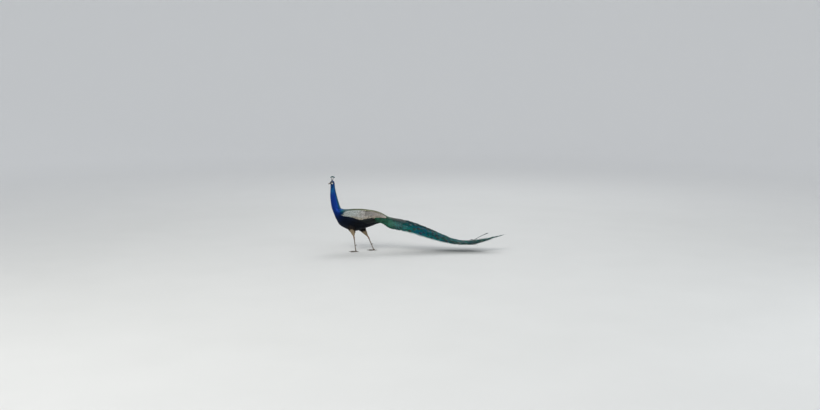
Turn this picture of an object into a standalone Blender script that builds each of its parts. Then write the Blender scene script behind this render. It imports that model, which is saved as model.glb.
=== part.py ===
"""A male Indian peafowl at life size, walking with its neck up and its train carried just off the floor.

Metres, +Z up. The bird faces -X, its left side is -Y, and the origin is on the floor below the middle of
its length. The head, neck and trunk are one smooth shape, parted by thin cuts. The wings, the tail and the
train are curved shells that lie round it, and the two legs stand on flats under the toes.
"""

import math

import bmesh
import bpy
from mathutils import Matrix, Vector

# --- driving dimensions ---------------------------------------------------------------------------------
GAP = 0.0004  # between two solids that meet
CUT = 0.0006  # the least width of the thin cuts that part the body
LEFT, RIGHT = -1, 1  # the side of the bird, as a sign of Y
SIDES = {"left": LEFT, "right": RIGHT}

# The body's sections, from the bill to the tail: where each meets the back (x, z) and the underside (x, z),
# and half its width.
SECTIONS = (
    ("bill base", (-0.9850, 0.7795), (-0.9825, 0.7610), 0.0088),
    ("eye", (-0.9685, 0.7960), (-0.9725, 0.7500), 0.0165),
    ("crown", (-0.9485, 0.7975), (-0.9780, 0.7330), 0.0190),
    ("nape", (-0.9315, 0.7760), (-0.9790, 0.7090), 0.0205),
    ("upper neck", (-0.9260, 0.7120), (-0.9800, 0.6720), 0.0260),
    ("middle neck", (-0.9070, 0.6250), (-0.9815, 0.6120), 0.0350),
    ("neck root", (-0.8750, 0.5120), (-0.9695, 0.5080), 0.0460),
    ("neck base", (-0.8520, 0.4800), (-0.9480, 0.4410), 0.0600),
    ("shoulder", (-0.7950, 0.4750), (-0.9130, 0.3580), 0.0830),
    ("breast", (-0.7000, 0.4790), (-0.8600, 0.2860), 0.1030),
    ("belly", (-0.6000, 0.4760), (-0.7150, 0.2320), 0.1080),
    ("vent", (-0.5000, 0.4580), (-0.5550, 0.2750), 0.0900),
    ("rump", (-0.4000, 0.4200), (-0.4250, 0.3230), 0.0560),
    ("tail root", (-0.3350, 0.3820), (-0.3450, 0.3370), 0.0380),
)
FULLER_ABOVE = 0.10  # how much wider a section is above its middle than below
BODY_SIDES = 24
# Where the thin cuts part the body, counted in sections from the bill.
BODY_PARTS = {
    "head": (0.0, 3.0),
    "neck_upper": (3.0, 4.3),
    "neck_middle": (4.3, 5.4),
    "neck_lower": (5.4, 7.0),
    "breast": (7.0, 9.2),
    "trunk": (9.2, 11.3),
    "rump": (11.3, 13.0),
}
RINGS_PER_SECTION = 3

HEAD_TURN = math.radians(38)  # the head looks a little to the bird's left
HEAD_TURN_FROM, HEAD_TURN_TO = 0.60, 0.745  # heights between which the neck twists
NECK_AXIS_X = -0.956

EYE_RADIUS = 0.0066
EYE_CENTRE = Vector((-0.9700, 0.0112, 0.7775))

BILL_BASE_X, BILL_TIP_X = -0.9858, -1.0150
FACE_SLOPE = 0.135  # the face behind the bill leans back this much with height
CULMEN = ((0.0, 0.7770), (0.45, 0.7752), (0.80, 0.7690), (1.0, 0.7605))
GAPE = ((0.0, 0.7680), (0.50, 0.7662), (0.85, 0.7625), (1.0, 0.7590))
GONYS = ((0.0, 0.7622), (0.60, 0.7600), (1.0, 0.7600))
LOWER_BILL_REACH = 0.90  # of the upper bill's length
BILL_HALF_WIDTH = 0.0068

CREST_FEATHERS = 13
CREST_ROOT_X = (-0.9700, -0.9500)
CREST_LENGTH = 0.048
CREST_FAN = math.radians(30)  # from the middle feather to the outer ones
CREST_LEAN = math.radians(1)  # of the middle feather, backwards

# The folded wings are patches over the body. Counted in sections from the bill: the angles, from the middle
# of the back, of a wing's top, of the line between its barred and its dark feathers, and of its bottom.
WING_TOP = ((7.45, 72), (7.8, 50), (8.3, 34), (9.3, 25), (11.0, 22), (12.0, 34), (12.6, 52), (12.8, 62))
WING_LINE = ((7.45, 80), (7.8, 93), (8.4, 84), (9.2, 77), (10.2, 82), (10.9, 75), (12.8, 71))
WING_BOTTOM = ((8.6, 88), (9.2, 105), (10.5, 112), (11.5, 106), (12.2, 92), (12.6, 77))
LINE_GAP = 1.0  # degrees, on both sides of the line
COVERTS = {
    "sections": (7.45, 10.95),
    "edges": (WING_TOP, WING_LINE),
    "thickness": ((7.45, 0.005), (8.2, 0.012), (9.5, 0.012), (10.95, 0.008)),
}
TERTIALS = {
    "sections": (10.98, 12.80),
    "edges": (WING_TOP, WING_LINE),
    "thickness": ((10.98, 0.008), (12.0, 0.005), (12.8, 0.002)),
}
FLIGHT = {
    "sections": (8.60, 12.60),
    "edges": (WING_LINE, WING_BOTTOM),
    "thickness": ((8.6, 0.003), (9.5, 0.007), (11.0, 0.006), (12.6, 0.002)),
}
WING_EDGE = 0.0012
# How far their inner faces stand off the body: behind its middle the train's root passes under them.
WING_SEAT = ((10.7, 0.0014), (11.3, 0.0100), (12.0, 0.0105), (12.8, 0.0190))

# The train is an arch over the tail, in strips. Along X: the ridge's height, half the width, how far the
# edges hang below the ridge, how far the arch turns, and its thickness.
TRAIN_START, TRAIN_END = -0.465, 0.999
TRAIN_FREE_FROM, TRAIN_FREE_TO = -0.375, -0.290  # where it leaves the rump
TRAIN_EDGE_LEAD = 0.060  # its edges leave this much sooner
TRAIN_SEAT = 0.0020  # how far its inner face stands off the rump
TRAIN_RIDGE = (
    (-0.420, 0.428),
    (-0.330, 0.379),
    (-0.100, 0.335),
    (0.130, 0.245),
    (0.360, 0.142),
    (0.480, 0.101),
    (0.600, 0.097),
    (0.800, 0.140),
    (1.000, 0.186),
)
TRAIN_HALF_WIDTH = (
    (-0.420, 0.070),
    (-0.330, 0.064),
    (-0.100, 0.110),
    (0.130, 0.132),
    (0.360, 0.142),
    (0.600, 0.146),
    (0.800, 0.140),
    (1.000, 0.100),
)
TRAIN_DROP = (
    (-0.420, 0.118),
    (-0.330, 0.108),
    (-0.100, 0.106),
    (0.130, 0.082),
    (0.360, 0.036),
    (0.480, 0.010),
    (0.600, 0.008),
    (0.800, 0.037),
    (1.000, 0.045),
)
TRAIN_TURN = ((-0.42, 122), (-0.33, 105), (-0.10, 86), (0.13, 76), (1.0, 70))
TRAIN_THICKNESS = ((-0.465, 0.0016), (-0.33, 0.0050), (0.10, 0.0050), (0.6, 0.0036), (1.0, 0.0025))
TRAIN_STRIPS = 9
TIPS_FROM, TIPS_SHARE = 0.50, 0.75  # the strips' tips begin here, three quarters along each
STRIP_REACH = 0.30  # how much shorter the outermost strips are than the middle one
STRIP_GAP = 0.0015  # from a strip's edge to the middle of the gap beside it

TAIL_ROOT_X, TAIL_END_X = -0.3300, 0.020
TAIL_HALF_WIDTH = ((0.0, 0.026), (0.4, 0.058), (0.85, 0.078), (1.0, 0.060))
TAIL_BELOW_RIDGE = ((0.0, 0.012), (0.3, 0.030), (1.0, 0.052))
TAIL_THICKNESS = 0.0035
TAIL_CAMBER = 0.012

# The legs. The left foot carries the weight and the right one is about to leave the floor.
HIPS = {"left": Vector((-0.744, -0.052, 0.305)), "right": Vector((-0.668, 0.052, 0.305))}
HOCKS = {"left": Vector((-0.716, -0.052, 0.166)), "right": Vector((-0.558, 0.052, 0.148))}
FEET = {"left": Vector((-0.696, -0.050, 0.0)), "right": Vector((-0.497, 0.050, 0.0))}
THIGH_TOP_RADIUS, THIGH_END_RADIUS = 0.054, 0.0095
THIGH_END = 0.86  # of the way from hip to hock
HOCK_RADIUS, SHANK_RADIUS, ANKLE_RADIUS = 0.0082, 0.0056, 0.0068
ANKLE_HEIGHT = 0.022
SPUR_LENGTH, SPUR_RADIUS, SPUR_HEIGHT = 0.020, 0.0042, 0.058

# Toes: name, heading in degrees from straight ahead (outwards is positive), length, root radius.
TOES = (
    ("inner", -30, 0.050, 0.0056),
    ("middle", 2, 0.068, 0.0060),
    ("outer", 33, 0.052, 0.0054),
    ("hind", 172, 0.024, 0.0046),
)
TOE_SINK = 0.80  # a toe's centre is this many radii up, so that the floor cuts a flat under it
BALL_RADIUS = 0.0100
CLAW_LENGTH = 0.013
SLOPE_GAP = 0.0012  # wider than other gaps, where one of the two ends slopes

COLOURS = {  # red, green, blue, roughness
    "neck_blue": (0.010, 0.045, 0.300, 0.35),
    "head_blue": (0.010, 0.060, 0.260, 0.40),
    "belly_dark": (0.012, 0.016, 0.020, 0.55),
    "barred": (0.420, 0.390, 0.330, 0.70),
    "flight_dark": (0.020, 0.022, 0.028, 0.50),
    "train_green": (0.010, 0.130, 0.080, 0.40),
    "tail_brown": (0.090, 0.065, 0.045, 0.70),
    "thigh_buff": (0.300, 0.220, 0.140, 0.80),
    "shank": (0.200, 0.170, 0.140, 0.55),
    "horn": (0.160, 0.140, 0.120, 0.40),
    "eye": (0.020, 0.010, 0.006, 0.08),
}


# --- small tools ----------------------------------------------------------------------------------------
def smooth_step(low, high, x):
    t = min(1.0, max(0.0, (x - low) / (high - low)))
    return t * t * (3 - 2 * t)


def mixed(start, end, share):
    return start + (end - start) * share


def curve_at(keys, x):
    """The value at x on a smooth curve through the keys (x, value), without overshoot at its ends."""
    x = min(max(x, keys[0][0]), keys[-1][0])
    i = max(k for k in range(len(keys) - 1) if keys[k][0] <= x)

    def slope(k):
        before, after = keys[max(k - 1, 0)], keys[min(k + 1, len(keys) - 1)]
        return (after[1] - before[1]) / (after[0] - before[0])

    (x0, y0), (x1, y1) = keys[i], keys[i + 1]
    span = x1 - x0
    t = (x - x0) / span
    return (
        y0 * (2 * t**3 - 3 * t**2 + 1)
        + slope(i) * span * (t**3 - 2 * t**2 + t)
        + y1 * (3 * t**2 - 2 * t**3)
        + slope(i + 1) * span * (t**3 - t**2)
    )


def clear_scene():
    for obj in list(bpy.data.objects):
        bpy.data.objects.remove(obj, do_unlink=True)


def material(name):
    made = bpy.data.materials.get(name)
    if made is None:
        red, green, blue, roughness = COLOURS[name]
        made = bpy.data.materials.new(name)
        made.use_nodes = True
        shader = made.node_tree.nodes["Principled BSDF"]
        shader.inputs["Base Color"].default_value = (red, green, blue, 1.0)
        shader.inputs["Roughness"].default_value = roughness
        shader.inputs["Metallic"].default_value = 0.0
    return made


def finish(bm, name, finish_name, place=None):
    """Turns a closed bmesh into a named, smooth-shaded object, after moving its points by place()."""
    if place:
        for vert in bm.verts:
            vert.co = place(vert.co)
    bmesh.ops.recalc_face_normals(bm, faces=bm.faces)
    mesh = bpy.data.meshes.new(name)
    bm.to_mesh(mesh)
    bm.free()
    mesh.shade_smooth()
    mesh.set_sharp_from_angle(angle=math.radians(40))
    mesh.materials.append(material(finish_name))
    obj = bpy.data.objects.new(name, mesh)
    bpy.context.scene.collection.objects.link(obj)
    return obj


def helper(obj):
    """Marks an object that only shapes others."""
    obj.hide_render = True
    obj.display_type = "WIRE"
    return obj


def combine(obj, other, operation):
    """Applies a Boolean with another object's present shape."""
    modifier = obj.modifiers.new(other.name, "BOOLEAN")
    modifier.operation = operation
    modifier.solver = "EXACT"
    modifier.object = other
    bpy.context.view_layer.update()
    shape = bpy.data.meshes.new_from_object(
        obj.evaluated_get(bpy.context.evaluated_depsgraph_get())
    )
    obj.modifiers.clear()
    obj.data = shape


def discard(obj):
    bpy.data.objects.remove(obj, do_unlink=True)


def loft(rings):
    """A closed bmesh through rings of points, one after another, with each end fanned from its middle."""
    bm = bmesh.new()
    loops = [[bm.verts.new(point) for point in ring] for ring in rings]
    count = len(loops[0])
    for ring, following in zip(loops, loops[1:]):
        for i in range(count):
            j = (i + 1) % count
            bm.faces.new((ring[i], ring[j], following[j], following[i]))
    ends = [bm.faces.new(reversed(loops[0])), bm.faces.new(loops[-1])]
    bmesh.ops.poke(bm, faces=ends)
    return bm


def tube(points, radii, sides, flatten=1.0):
    """A closed bmesh along a line of points. flatten scales it sideways, across the up direction."""
    rings = []
    side = None
    for i, point in enumerate(points):
        before, after = points[max(i - 1, 0)], points[min(i + 1, len(points) - 1)]
        along = (after - before).normalized()
        if side is None:
            side = Vector((0, 1, 0)) if abs(along.y) < 0.9 else Vector((1, 0, 0))
        side = (side - along * side.dot(along)).normalized()
        up = along.cross(side)
        turns = [2 * math.pi * k / sides for k in range(sides)]
        rings.append(
            [
                point + radii[i] * (side * math.cos(a) * flatten + up * math.sin(a))
                for a in turns
            ]
        )
    return loft(rings)


def shell(surface, thickness, across, along):
    """A closed bmesh: a patch of a surface, with a second skin raised from it by its thickness.

    surface(u, v) gives a point and the way out of the surface there, and thickness(u, v) a distance, for
    u and v from 0 to 1.
    """
    bm = bmesh.new()
    bmesh.ops.create_grid(bm, x_segments=along, y_segments=across, size=0.5)
    places = {vert: (vert.co.x + 0.5, vert.co.y + 0.5) for vert in bm.verts}
    inner = list(bm.verts)
    raised = bmesh.ops.extrude_face_region(bm, geom=list(bm.faces), use_keep_orig=True)
    outer = [item for item in raised["geom"] if isinstance(item, bmesh.types.BMVert)]
    places.update({vert: (vert.co.x + 0.5, vert.co.y + 0.5) for vert in outer})
    for vert in inner + outer:
        point, out = surface(*places[vert])
        vert.co = point + out * (thickness(*places[vert]) if vert in outer else 0.0)
    return bm


# --- the body -------------------------------------------------------------------------------------------
def section(s):
    """The back point, the underside point and half the width, s sections from the bill."""
    columns = zip(*((*back, *under, half_width) for _, back, under, half_width in SECTIONS))
    back_x, back_z, under_x, under_z, half_width = (
        curve_at(list(enumerate(column)), s) for column in columns
    )
    return Vector((back_x, 0, back_z)), Vector((under_x, 0, under_z)), half_width


def body_surface(s, angle):
    """A point on the body. The angle runs from the middle of the back, towards the right side."""
    back, under, half_width = section(s)
    middle, reach = (back + under) / 2, (back - under) / 2
    fullness = 1 + FULLER_ABOVE * math.cos(angle)
    return middle + reach * math.cos(angle) + Vector((0, half_width * math.sin(angle) * fullness, 0))


def body_point(s, angle, lift=0.0):
    """A point raised from the body's surface by lift."""
    point = body_surface(s, angle)
    if lift == 0.0:
        return point
    return point + body_normal(s, angle) * lift


def body_normal(s, angle):
    step = 0.01
    along = body_surface(s + step, angle) - body_surface(s - step, angle)
    around = body_surface(s, angle + step) - body_surface(s, angle - step)
    return along.cross(around).normalized()


def body_ring(s, lift=0.0):
    return [body_point(s, 2 * math.pi * k / BODY_SIDES, lift) for k in range(BODY_SIDES)]


def cut_width(s):
    """The width of a cut, counted in sections, from where the sections are closest."""
    step = 0.01
    back, under, _ = section(s)
    next_back, next_under, _ = section(s + step)
    return CUT * step / min((next_back - back).length, (next_under - under).length)


def body_loft(name, lift=0.0):
    """The closed shape of one of the body's parts, raised all round by lift."""
    first, last = BODY_PARTS[name]
    if first > 0:
        first += cut_width(first)
    rings = max(2, round((last - first) * RINGS_PER_SECTION))
    stations = [first + (last - first) * k / rings for k in range(rings + 1)]
    return loft([body_ring(s, lift) for s in stations])


def turn_head(point):
    """Twists the upper neck, and all above it, round the neck."""
    share = smooth_step(HEAD_TURN_FROM, HEAD_TURN_TO, point.z)
    turn = Matrix.Rotation(HEAD_TURN * share, 4, "Z")
    axis = Vector((NECK_AXIS_X, 0, 0))
    return turn @ (point - axis) + axis


def body():
    finishes = {
        "head": "head_blue",
        "neck_upper": "neck_blue",
        "neck_middle": "neck_blue",
        "neck_lower": "neck_blue",
        "breast": "neck_blue",
        "trunk": "belly_dark",
        "rump": "train_green",
    }
    made = {name: finish(body_loft(name), name, finishes[name], turn_head) for name in BODY_PARTS}
    for side in SIDES.values():
        socket = helper(eye_ball("socket", side, EYE_RADIUS + GAP))
        combine(made["head"], socket, "DIFFERENCE")
        discard(socket)


# --- the head's own pieces ------------------------------------------------------------------------------
def eye_ball(name, side, radius):
    bm = bmesh.new()
    bmesh.ops.create_uvsphere(bm, u_segments=12, v_segments=8, radius=radius)
    bmesh.ops.rotate(bm, verts=bm.verts, cent=(0, 0, 0), matrix=Matrix.Rotation(math.pi / 2, 3, "X"))
    centre = Vector((EYE_CENTRE.x, EYE_CENTRE.y * side, EYE_CENTRE.z))
    bmesh.ops.translate(bm, verts=bm.verts, vec=centre)
    return finish(bm, name, "eye", turn_head)


def bill_half(name, upper, lower, reach, width_share):
    """One half of the bill: rings from the face to the tip between an upper and a lower line."""
    sides, steps = 12, 7
    rings = []
    for k in range(steps + 1):
        t = reach * k / steps
        top, bottom = upper(t), lower(t)
        half_width = BILL_HALF_WIDTH * width_share * math.sqrt(max(0.02, 1 - (t / (reach * 1.02)) ** 2))
        middle, half_height = (top + bottom) / 2, (top - bottom) / 2
        x = BILL_BASE_X + (BILL_TIP_X - BILL_BASE_X) * t
        turns = [2 * math.pi * i / sides for i in range(sides)]
        ring = [Vector((x, half_width * math.sin(a), middle + half_height * math.cos(a))) for a in turns]
        for point in ring:
            point.x += FACE_SLOPE * (1 - t) * (SECTIONS[0][1][1] - point.z)
        rings.append(ring)
    finish(loft(rings), name, "horn", turn_head)


def bill():
    bill_half("bill_upper", lambda t: curve_at(CULMEN, t), lambda t: curve_at(GAPE, t) + GAP / 2, 1.0, 1.0)
    bill_half(
        "bill_lower",
        lambda t: curve_at(GAPE, t) - GAP / 2,
        lambda t: curve_at(GONYS, t / LOWER_BILL_REACH),
        LOWER_BILL_REACH,
        0.9,
    )


def crown_height(x):
    """The height of the top of the head at x."""
    low, high = 0.0, 3.0
    for _ in range(30):
        middle = (low + high) / 2
        low, high = (middle, high) if section(middle)[0].x < x else (low, middle)
    return section(low)[0].z


def crest():
    """A comb of feathers that stand in a fan along the middle of the crown."""
    half_thick, strip_height = 0.0010, 0.0020
    cells = 2 * CREST_FEATHERS - 1
    front, rear = CREST_ROOT_X
    bm = bmesh.new()
    bmesh.ops.create_grid(bm, x_segments=cells, y_segments=1, size=0.5)
    for vert in bm.verts:
        x = front + (vert.co.x + 0.5) * (rear - front)
        vert.co = Vector((x, half_thick * math.copysign(1, vert.co.y), crown_height(x) + strip_height))
    cell_faces = sorted(bm.faces, key=lambda face: face.calc_center_median().x)
    below = bmesh.ops.extrude_face_region(bm, geom=list(bm.faces), use_keep_orig=True)
    for vert in (item for item in below["geom"] if isinstance(item, bmesh.types.BMVert)):
        vert.co.z = crown_height(vert.co.x) + GAP
    # Along a feather: the share of its length, and half its width and thickness there.
    stages = ((0.70, 0.00045, 0.0005), (0.88, 0.0022, 0.0006), (1.0, 0.0012, 0.0005))
    for i, face in enumerate(cell_faces[::2]):
        spread = 2 * i / (CREST_FEATHERS - 1) - 1
        angle = CREST_FAN * spread + CREST_LEAN
        root = face.calc_center_median()
        up = Vector((math.sin(angle), 0, math.cos(angle)))
        across = Vector((math.cos(angle), 0, -math.sin(angle)))
        length = CREST_LENGTH * (1 - 0.10 * spread**2)
        corners = [
            (math.copysign(1, vert.co.x - root.x), math.copysign(1, vert.co.y)) for vert in face.verts
        ]
        for share, half_width, half_depth in stages:
            face = bmesh.ops.extrude_discrete_faces(bm, faces=[face])["faces"][0]
            for vert, (end, side) in zip(face.verts, corners):
                vert.co = root + up * length * share + across * half_width * end
                vert.co.y = half_depth * side
    finish(bm, "crest", "head_blue", turn_head)


# --- wings, tail and train ------------------------------------------------------------------------------
def wing_patch(name, side, plan, finish_name, along, across):
    first, last = plan["sections"]

    def surface(u, v):
        s = first + (last - first) * u
        upper, lower = (curve_at(edge, s) for edge in plan["edges"])
        upper += LINE_GAP if plan["edges"][0] is WING_LINE else 0
        lower -= LINE_GAP if plan["edges"][1] is WING_LINE else 0
        angle = math.radians(upper + (lower - upper) * v) * side
        out = body_normal(s, angle)
        return body_surface(s, angle) + out * curve_at(WING_SEAT, s), out

    def thickness(u, v):
        bulge = max(0.0, 1 - abs(2 * v - 1) ** 3) * min(1.0, 8 * u + 0.1)
        full = curve_at(plan["thickness"], first + (last - first) * u)
        return WING_EDGE + (full - WING_EDGE) * bulge

    finish(shell(surface, thickness, across, along), name, finish_name)


def wings():
    for name, side in SIDES.items():
        wing_patch(f"wing_{name}_coverts", side, COVERTS, "barred", 12, 7)
        wing_patch(f"wing_{name}_tertials", side, TERTIALS, "barred", 8, 5)
        wing_patch(f"wing_{name}_flight", side, FLIGHT, "flight_dark", 12, 3)


def section_at(x):
    """How many sections from the bill the middle of the back reaches x, behind the shoulders."""
    low, high = 8.0, len(SECTIONS) - 1.0
    for _ in range(30):
        middle = (low + high) / 2
        low, high = (middle, high) if section(middle)[0].x < x else (low, middle)
    return low


def train_surface(x, v):
    """A point on the train's inner face at x, for v from -1 (left edge) to 1, and the way out there."""

    def point(x, v):
        turn = math.radians(curve_at(TRAIN_TURN, x))
        drop = curve_at(TRAIN_DROP, x) * (1 - math.cos(v * turn)) / (1 - math.cos(turn))
        across = curve_at(TRAIN_HALF_WIDTH, x) * math.sin(v * turn)
        free = Vector((x, across, curve_at(TRAIN_RIDGE, x) - drop))
        lead = TRAIN_EDGE_LEAD * smooth_step(0.80, 1.0, abs(v))
        share = smooth_step(TRAIN_FREE_FROM - lead, TRAIN_FREE_TO - lead, x)
        if share == 1:
            return free
        return mixed(body_point(section_at(x), v * turn, TRAIN_SEAT), free, share)

    step = 0.01
    along = point(x + step, v) - point(x - step, v)
    around = point(x, v + step) - point(x, v - step)
    return point(x, v), along.cross(around).normalized()


def train_x(u, end):
    """Where a strip that reaches end lies at u: all strips share their cuts before the tips."""
    if u <= TIPS_SHARE:
        return TRAIN_START + (TIPS_FROM - TRAIN_START) * (u / TIPS_SHARE) ** 1.4
    return TIPS_FROM + (end - TIPS_FROM) * (u - TIPS_SHARE) / (1 - TIPS_SHARE)


def train():
    """Strips side by side round the arch, each to its own rounded tip."""
    middle = TRAIN_STRIPS // 2
    for i in range(TRAIN_STRIPS):
        place = (i - middle) / middle  # -1 at the left edge, 1 at the right
        half_strip = 1 / TRAIN_STRIPS
        centre = place * (1 - half_strip)
        end = TRAIN_END - STRIP_REACH * abs(place) ** 1.5

        def surface(u, v):
            x = train_x(u, end)
            tip = math.sqrt(max(0.0, 1 - max(0.0, (u - 0.88) / 0.12) ** 2 * 0.97))
            girth = curve_at(TRAIN_HALF_WIDTH, x) * math.radians(curve_at(TRAIN_TURN, x))
            half = (half_strip - STRIP_GAP / girth) * tip
            return train_surface(x, centre + half * (2 * v - 1))

        def thickness(u, v):
            return curve_at(TRAIN_THICKNESS, train_x(u, end))

        if i == middle:
            name = "train_middle"
        else:
            name = f"train_{'left' if i < middle else 'right'}_{abs(i - middle)}"
        finish(shell(surface, thickness, 2, 16), name, "train_green")


def tail():
    """The stiff tail feathers, a fan under the train."""

    def surface(u, v):
        x = TAIL_ROOT_X + (TAIL_END_X - TAIL_ROOT_X) * u
        across = 2 * v - 1
        y = curve_at(TAIL_HALF_WIDTH, u) * across
        z = curve_at(TRAIN_RIDGE, x) - curve_at(TAIL_BELOW_RIDGE, u) - TAIL_CAMBER * across**2
        return Vector((x - 0.03 * u * across**2, y, z)), Vector((0, 0, -1))

    finish(shell(surface, lambda u, v: TAIL_THICKNESS, 6, 8), "tail", "tail_brown")


# --- legs -----------------------------------------------------------------------------------------------
def leg_end(name):
    """Where the shank meets the foot."""
    foot, hock = FEET[name], HOCKS[name]
    return mixed(foot, hock, ANKLE_HEIGHT / hock.z)


def thigh(name, body_guide):
    hip, hock = HIPS[name], HOCKS[name]
    steps = 7
    shares = [THIGH_END * k / steps for k in range(steps + 1)]
    points = [mixed(hip, hock, share) for share in shares]
    radii = [
        THIGH_END_RADIUS
        + (THIGH_TOP_RADIUS - THIGH_END_RADIUS)
        * (1 - share / THIGH_END) ** 0.85
        * (0.72 + 0.28 * smooth_step(0.0, 0.30, share))
        for share in shares
    ]
    made = finish(tube(points, radii, 14, 0.80), f"thigh_{name}", "thigh_buff")
    combine(made, body_guide, "DIFFERENCE")


def shank(name):
    """The bare leg, from below the thigh's feathers past the hock to the foot."""
    hip, hock, ankle = HIPS[name], HOCKS[name], leg_end(name)
    start = mixed(hip, hock, THIGH_END) + (hock - hip).normalized() * GAP
    points = [start, mixed(start, hock, 0.6), hock, *(mixed(hock, ankle, t) for t in (0.12, 0.28, 0.8, 1.0))]
    radii = [
        THIGH_END_RADIUS * 0.80,
        HOCK_RADIUS * 0.95,
        HOCK_RADIUS,
        HOCK_RADIUS * 0.92,
        SHANK_RADIUS,
        SHANK_RADIUS,
        ANKLE_RADIUS,
    ]
    bm = tube(points, radii, 10, 0.82)
    for vert in sorted(bm.verts, key=lambda v: v.co.z)[:10]:
        vert.co.z = ANKLE_HEIGHT + GAP
    finish(bm, f"shank_{name}", "shank")


def spur(name):
    hock, ankle = HOCKS[name], leg_end(name)
    inward = -SIDES[name]
    start = mixed(ankle, hock, SPUR_HEIGHT / hock.z)
    heading = Vector((0.82, 0.45 * inward, 0.22)).normalized()
    reach = [SHANK_RADIUS + SLOPE_GAP, SHANK_RADIUS + SPUR_LENGTH * 0.5, SHANK_RADIUS + SPUR_LENGTH]
    points = [start + heading * r + Vector((0, 0, 0.10 * (r - reach[0]))) for r in reach]
    finish(tube(points, [SPUR_RADIUS, SPUR_RADIUS * 0.62, 0.0006], 8), f"spur_{name}", "horn")


def toe_path(name, heading, length, radius):
    """Points and radii along a toe, from the ball of the foot to where its claw begins."""
    angle = math.radians(heading) * SIDES[name]
    ahead = Vector((-math.cos(angle), math.sin(angle), 0))
    shares = (0.0, 0.26, 0.46, 0.54, 0.80, 1.0)
    girths = (1.15, 0.84, 0.94, 0.76, 0.80, 0.50)
    radii = [radius * girth for girth in girths]
    points = [
        FEET[name] + ahead * length * share + Vector((0, 0, girth * TOE_SINK))
        for share, girth in zip(shares, radii)
    ]
    return points, radii, ahead


def foot(name):
    """The ball of the foot, its ankle and four toes as one solid, cut flat by the floor."""
    bm = bmesh.new()
    bmesh.ops.create_uvsphere(bm, u_segments=10, v_segments=6, radius=BALL_RADIUS)
    bmesh.ops.translate(bm, verts=bm.verts, vec=FEET[name] + Vector((0, 0, BALL_RADIUS * 0.78)))
    made = finish(bm, f"foot_{name}", "shank")
    top = leg_end(name)
    root = mixed(FEET[name], top, 0.3)
    ankle = tube([root, top], [ANKLE_RADIUS, ANKLE_RADIUS], 10, 0.82)
    for vert in sorted(ankle.verts, key=lambda v: -v.co.z)[:10]:
        vert.co.z = ANKLE_HEIGHT
    limbs = [finish(ankle, "ankle", "shank")]
    for _, heading, length, radius in TOES:
        points, radii, _ = toe_path(name, heading, length, radius)
        limbs.append(finish(tube(points, radii, 8), "toe", "shank"))
    for limb in limbs:
        combine(made, limb, "UNION")
        discard(limb)
    flatten_below_floor(made)


def flatten_below_floor(obj):
    """Cuts away what is below the floor and closes the cut with a flat face."""
    bm = bmesh.new()
    bm.from_mesh(obj.data)
    cut = bmesh.ops.bisect_plane(
        bm,
        geom=[*bm.verts, *bm.edges, *bm.faces],
        plane_co=(0, 0, 0),
        plane_no=(0, 0, 1),
        clear_inner=True,
    )
    edges = [item for item in cut["geom_cut"] if isinstance(item, bmesh.types.BMEdge)]
    bmesh.ops.edgenet_fill(bm, edges=edges)
    bmesh.ops.recalc_face_normals(bm, faces=bm.faces)
    bm.to_mesh(obj.data)
    bm.free()


def claws(name):
    for toe, heading, length, radius in TOES:
        points, radii, ahead = toe_path(name, heading, length, radius)
        start, thick = points[-1] + ahead * SLOPE_GAP, radii[-1] * 0.92
        steps = (0.0, 0.35, 0.70, 1.0)
        path = [
            start + ahead * CLAW_LENGTH * t + Vector((0, 0, 0.0012 * t - (start.z + 0.0002) * t**2.2))
            for t in steps
        ]
        sizes = [thick, thick * 0.80, thick * 0.48, 0.0005]
        bm = tube(path, sizes, 6)
        for vert in bm.verts:
            vert.co.z = max(vert.co.z, GAP)
        finish(bm, f"claw_{name}_{toe}", "horn")


def legs():
    body_guide = helper(finish(body_loft("trunk", 2 * GAP), "body_guide", "belly_dark"))
    for name in SIDES:
        thigh(name, body_guide)
        shank(name)
        spur(name)
        foot(name)
        claws(name)
    discard(body_guide)


def main():
    clear_scene()
    body()
    bill()
    for name, side in SIDES.items():
        eye_ball(f"eye_{name}", side, EYE_RADIUS)
    crest()
    wings()
    train()
    tail()
    legs()


main()
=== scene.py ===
"""The looks of a life-size walking peacock: one skin, its coat of feathers, its train, head, bill, eyes and legs.

Metres, +Z up. The bird faces -X and its left side is -Y. Every piece is fitted to the solids of the frame.
"""

import math

import bmesh
import bpy
import numpy as np
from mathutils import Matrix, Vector
from mathutils.bvhtree import BVHTree
from mathutils.kdtree import KDTree


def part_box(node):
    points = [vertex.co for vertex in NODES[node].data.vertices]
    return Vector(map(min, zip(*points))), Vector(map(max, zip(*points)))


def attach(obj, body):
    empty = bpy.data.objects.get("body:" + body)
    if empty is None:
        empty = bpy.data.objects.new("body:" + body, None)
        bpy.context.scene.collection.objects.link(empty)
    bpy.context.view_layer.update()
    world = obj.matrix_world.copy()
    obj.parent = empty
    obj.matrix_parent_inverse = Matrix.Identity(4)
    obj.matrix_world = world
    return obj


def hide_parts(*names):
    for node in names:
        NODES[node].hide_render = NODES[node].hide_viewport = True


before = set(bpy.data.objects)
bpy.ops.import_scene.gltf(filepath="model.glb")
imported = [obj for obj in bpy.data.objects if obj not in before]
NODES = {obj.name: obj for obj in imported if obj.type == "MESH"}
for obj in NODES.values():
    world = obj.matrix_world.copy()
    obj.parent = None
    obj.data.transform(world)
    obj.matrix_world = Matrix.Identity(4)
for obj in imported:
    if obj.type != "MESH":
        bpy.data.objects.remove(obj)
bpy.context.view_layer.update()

rng = np.random.default_rng(38)
PI = math.pi
UP = np.array((0.0, 0.0, 1.0))

GOLDEN = 0.6180339887  # steps of this share spread feathers evenly, with no pattern

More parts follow.
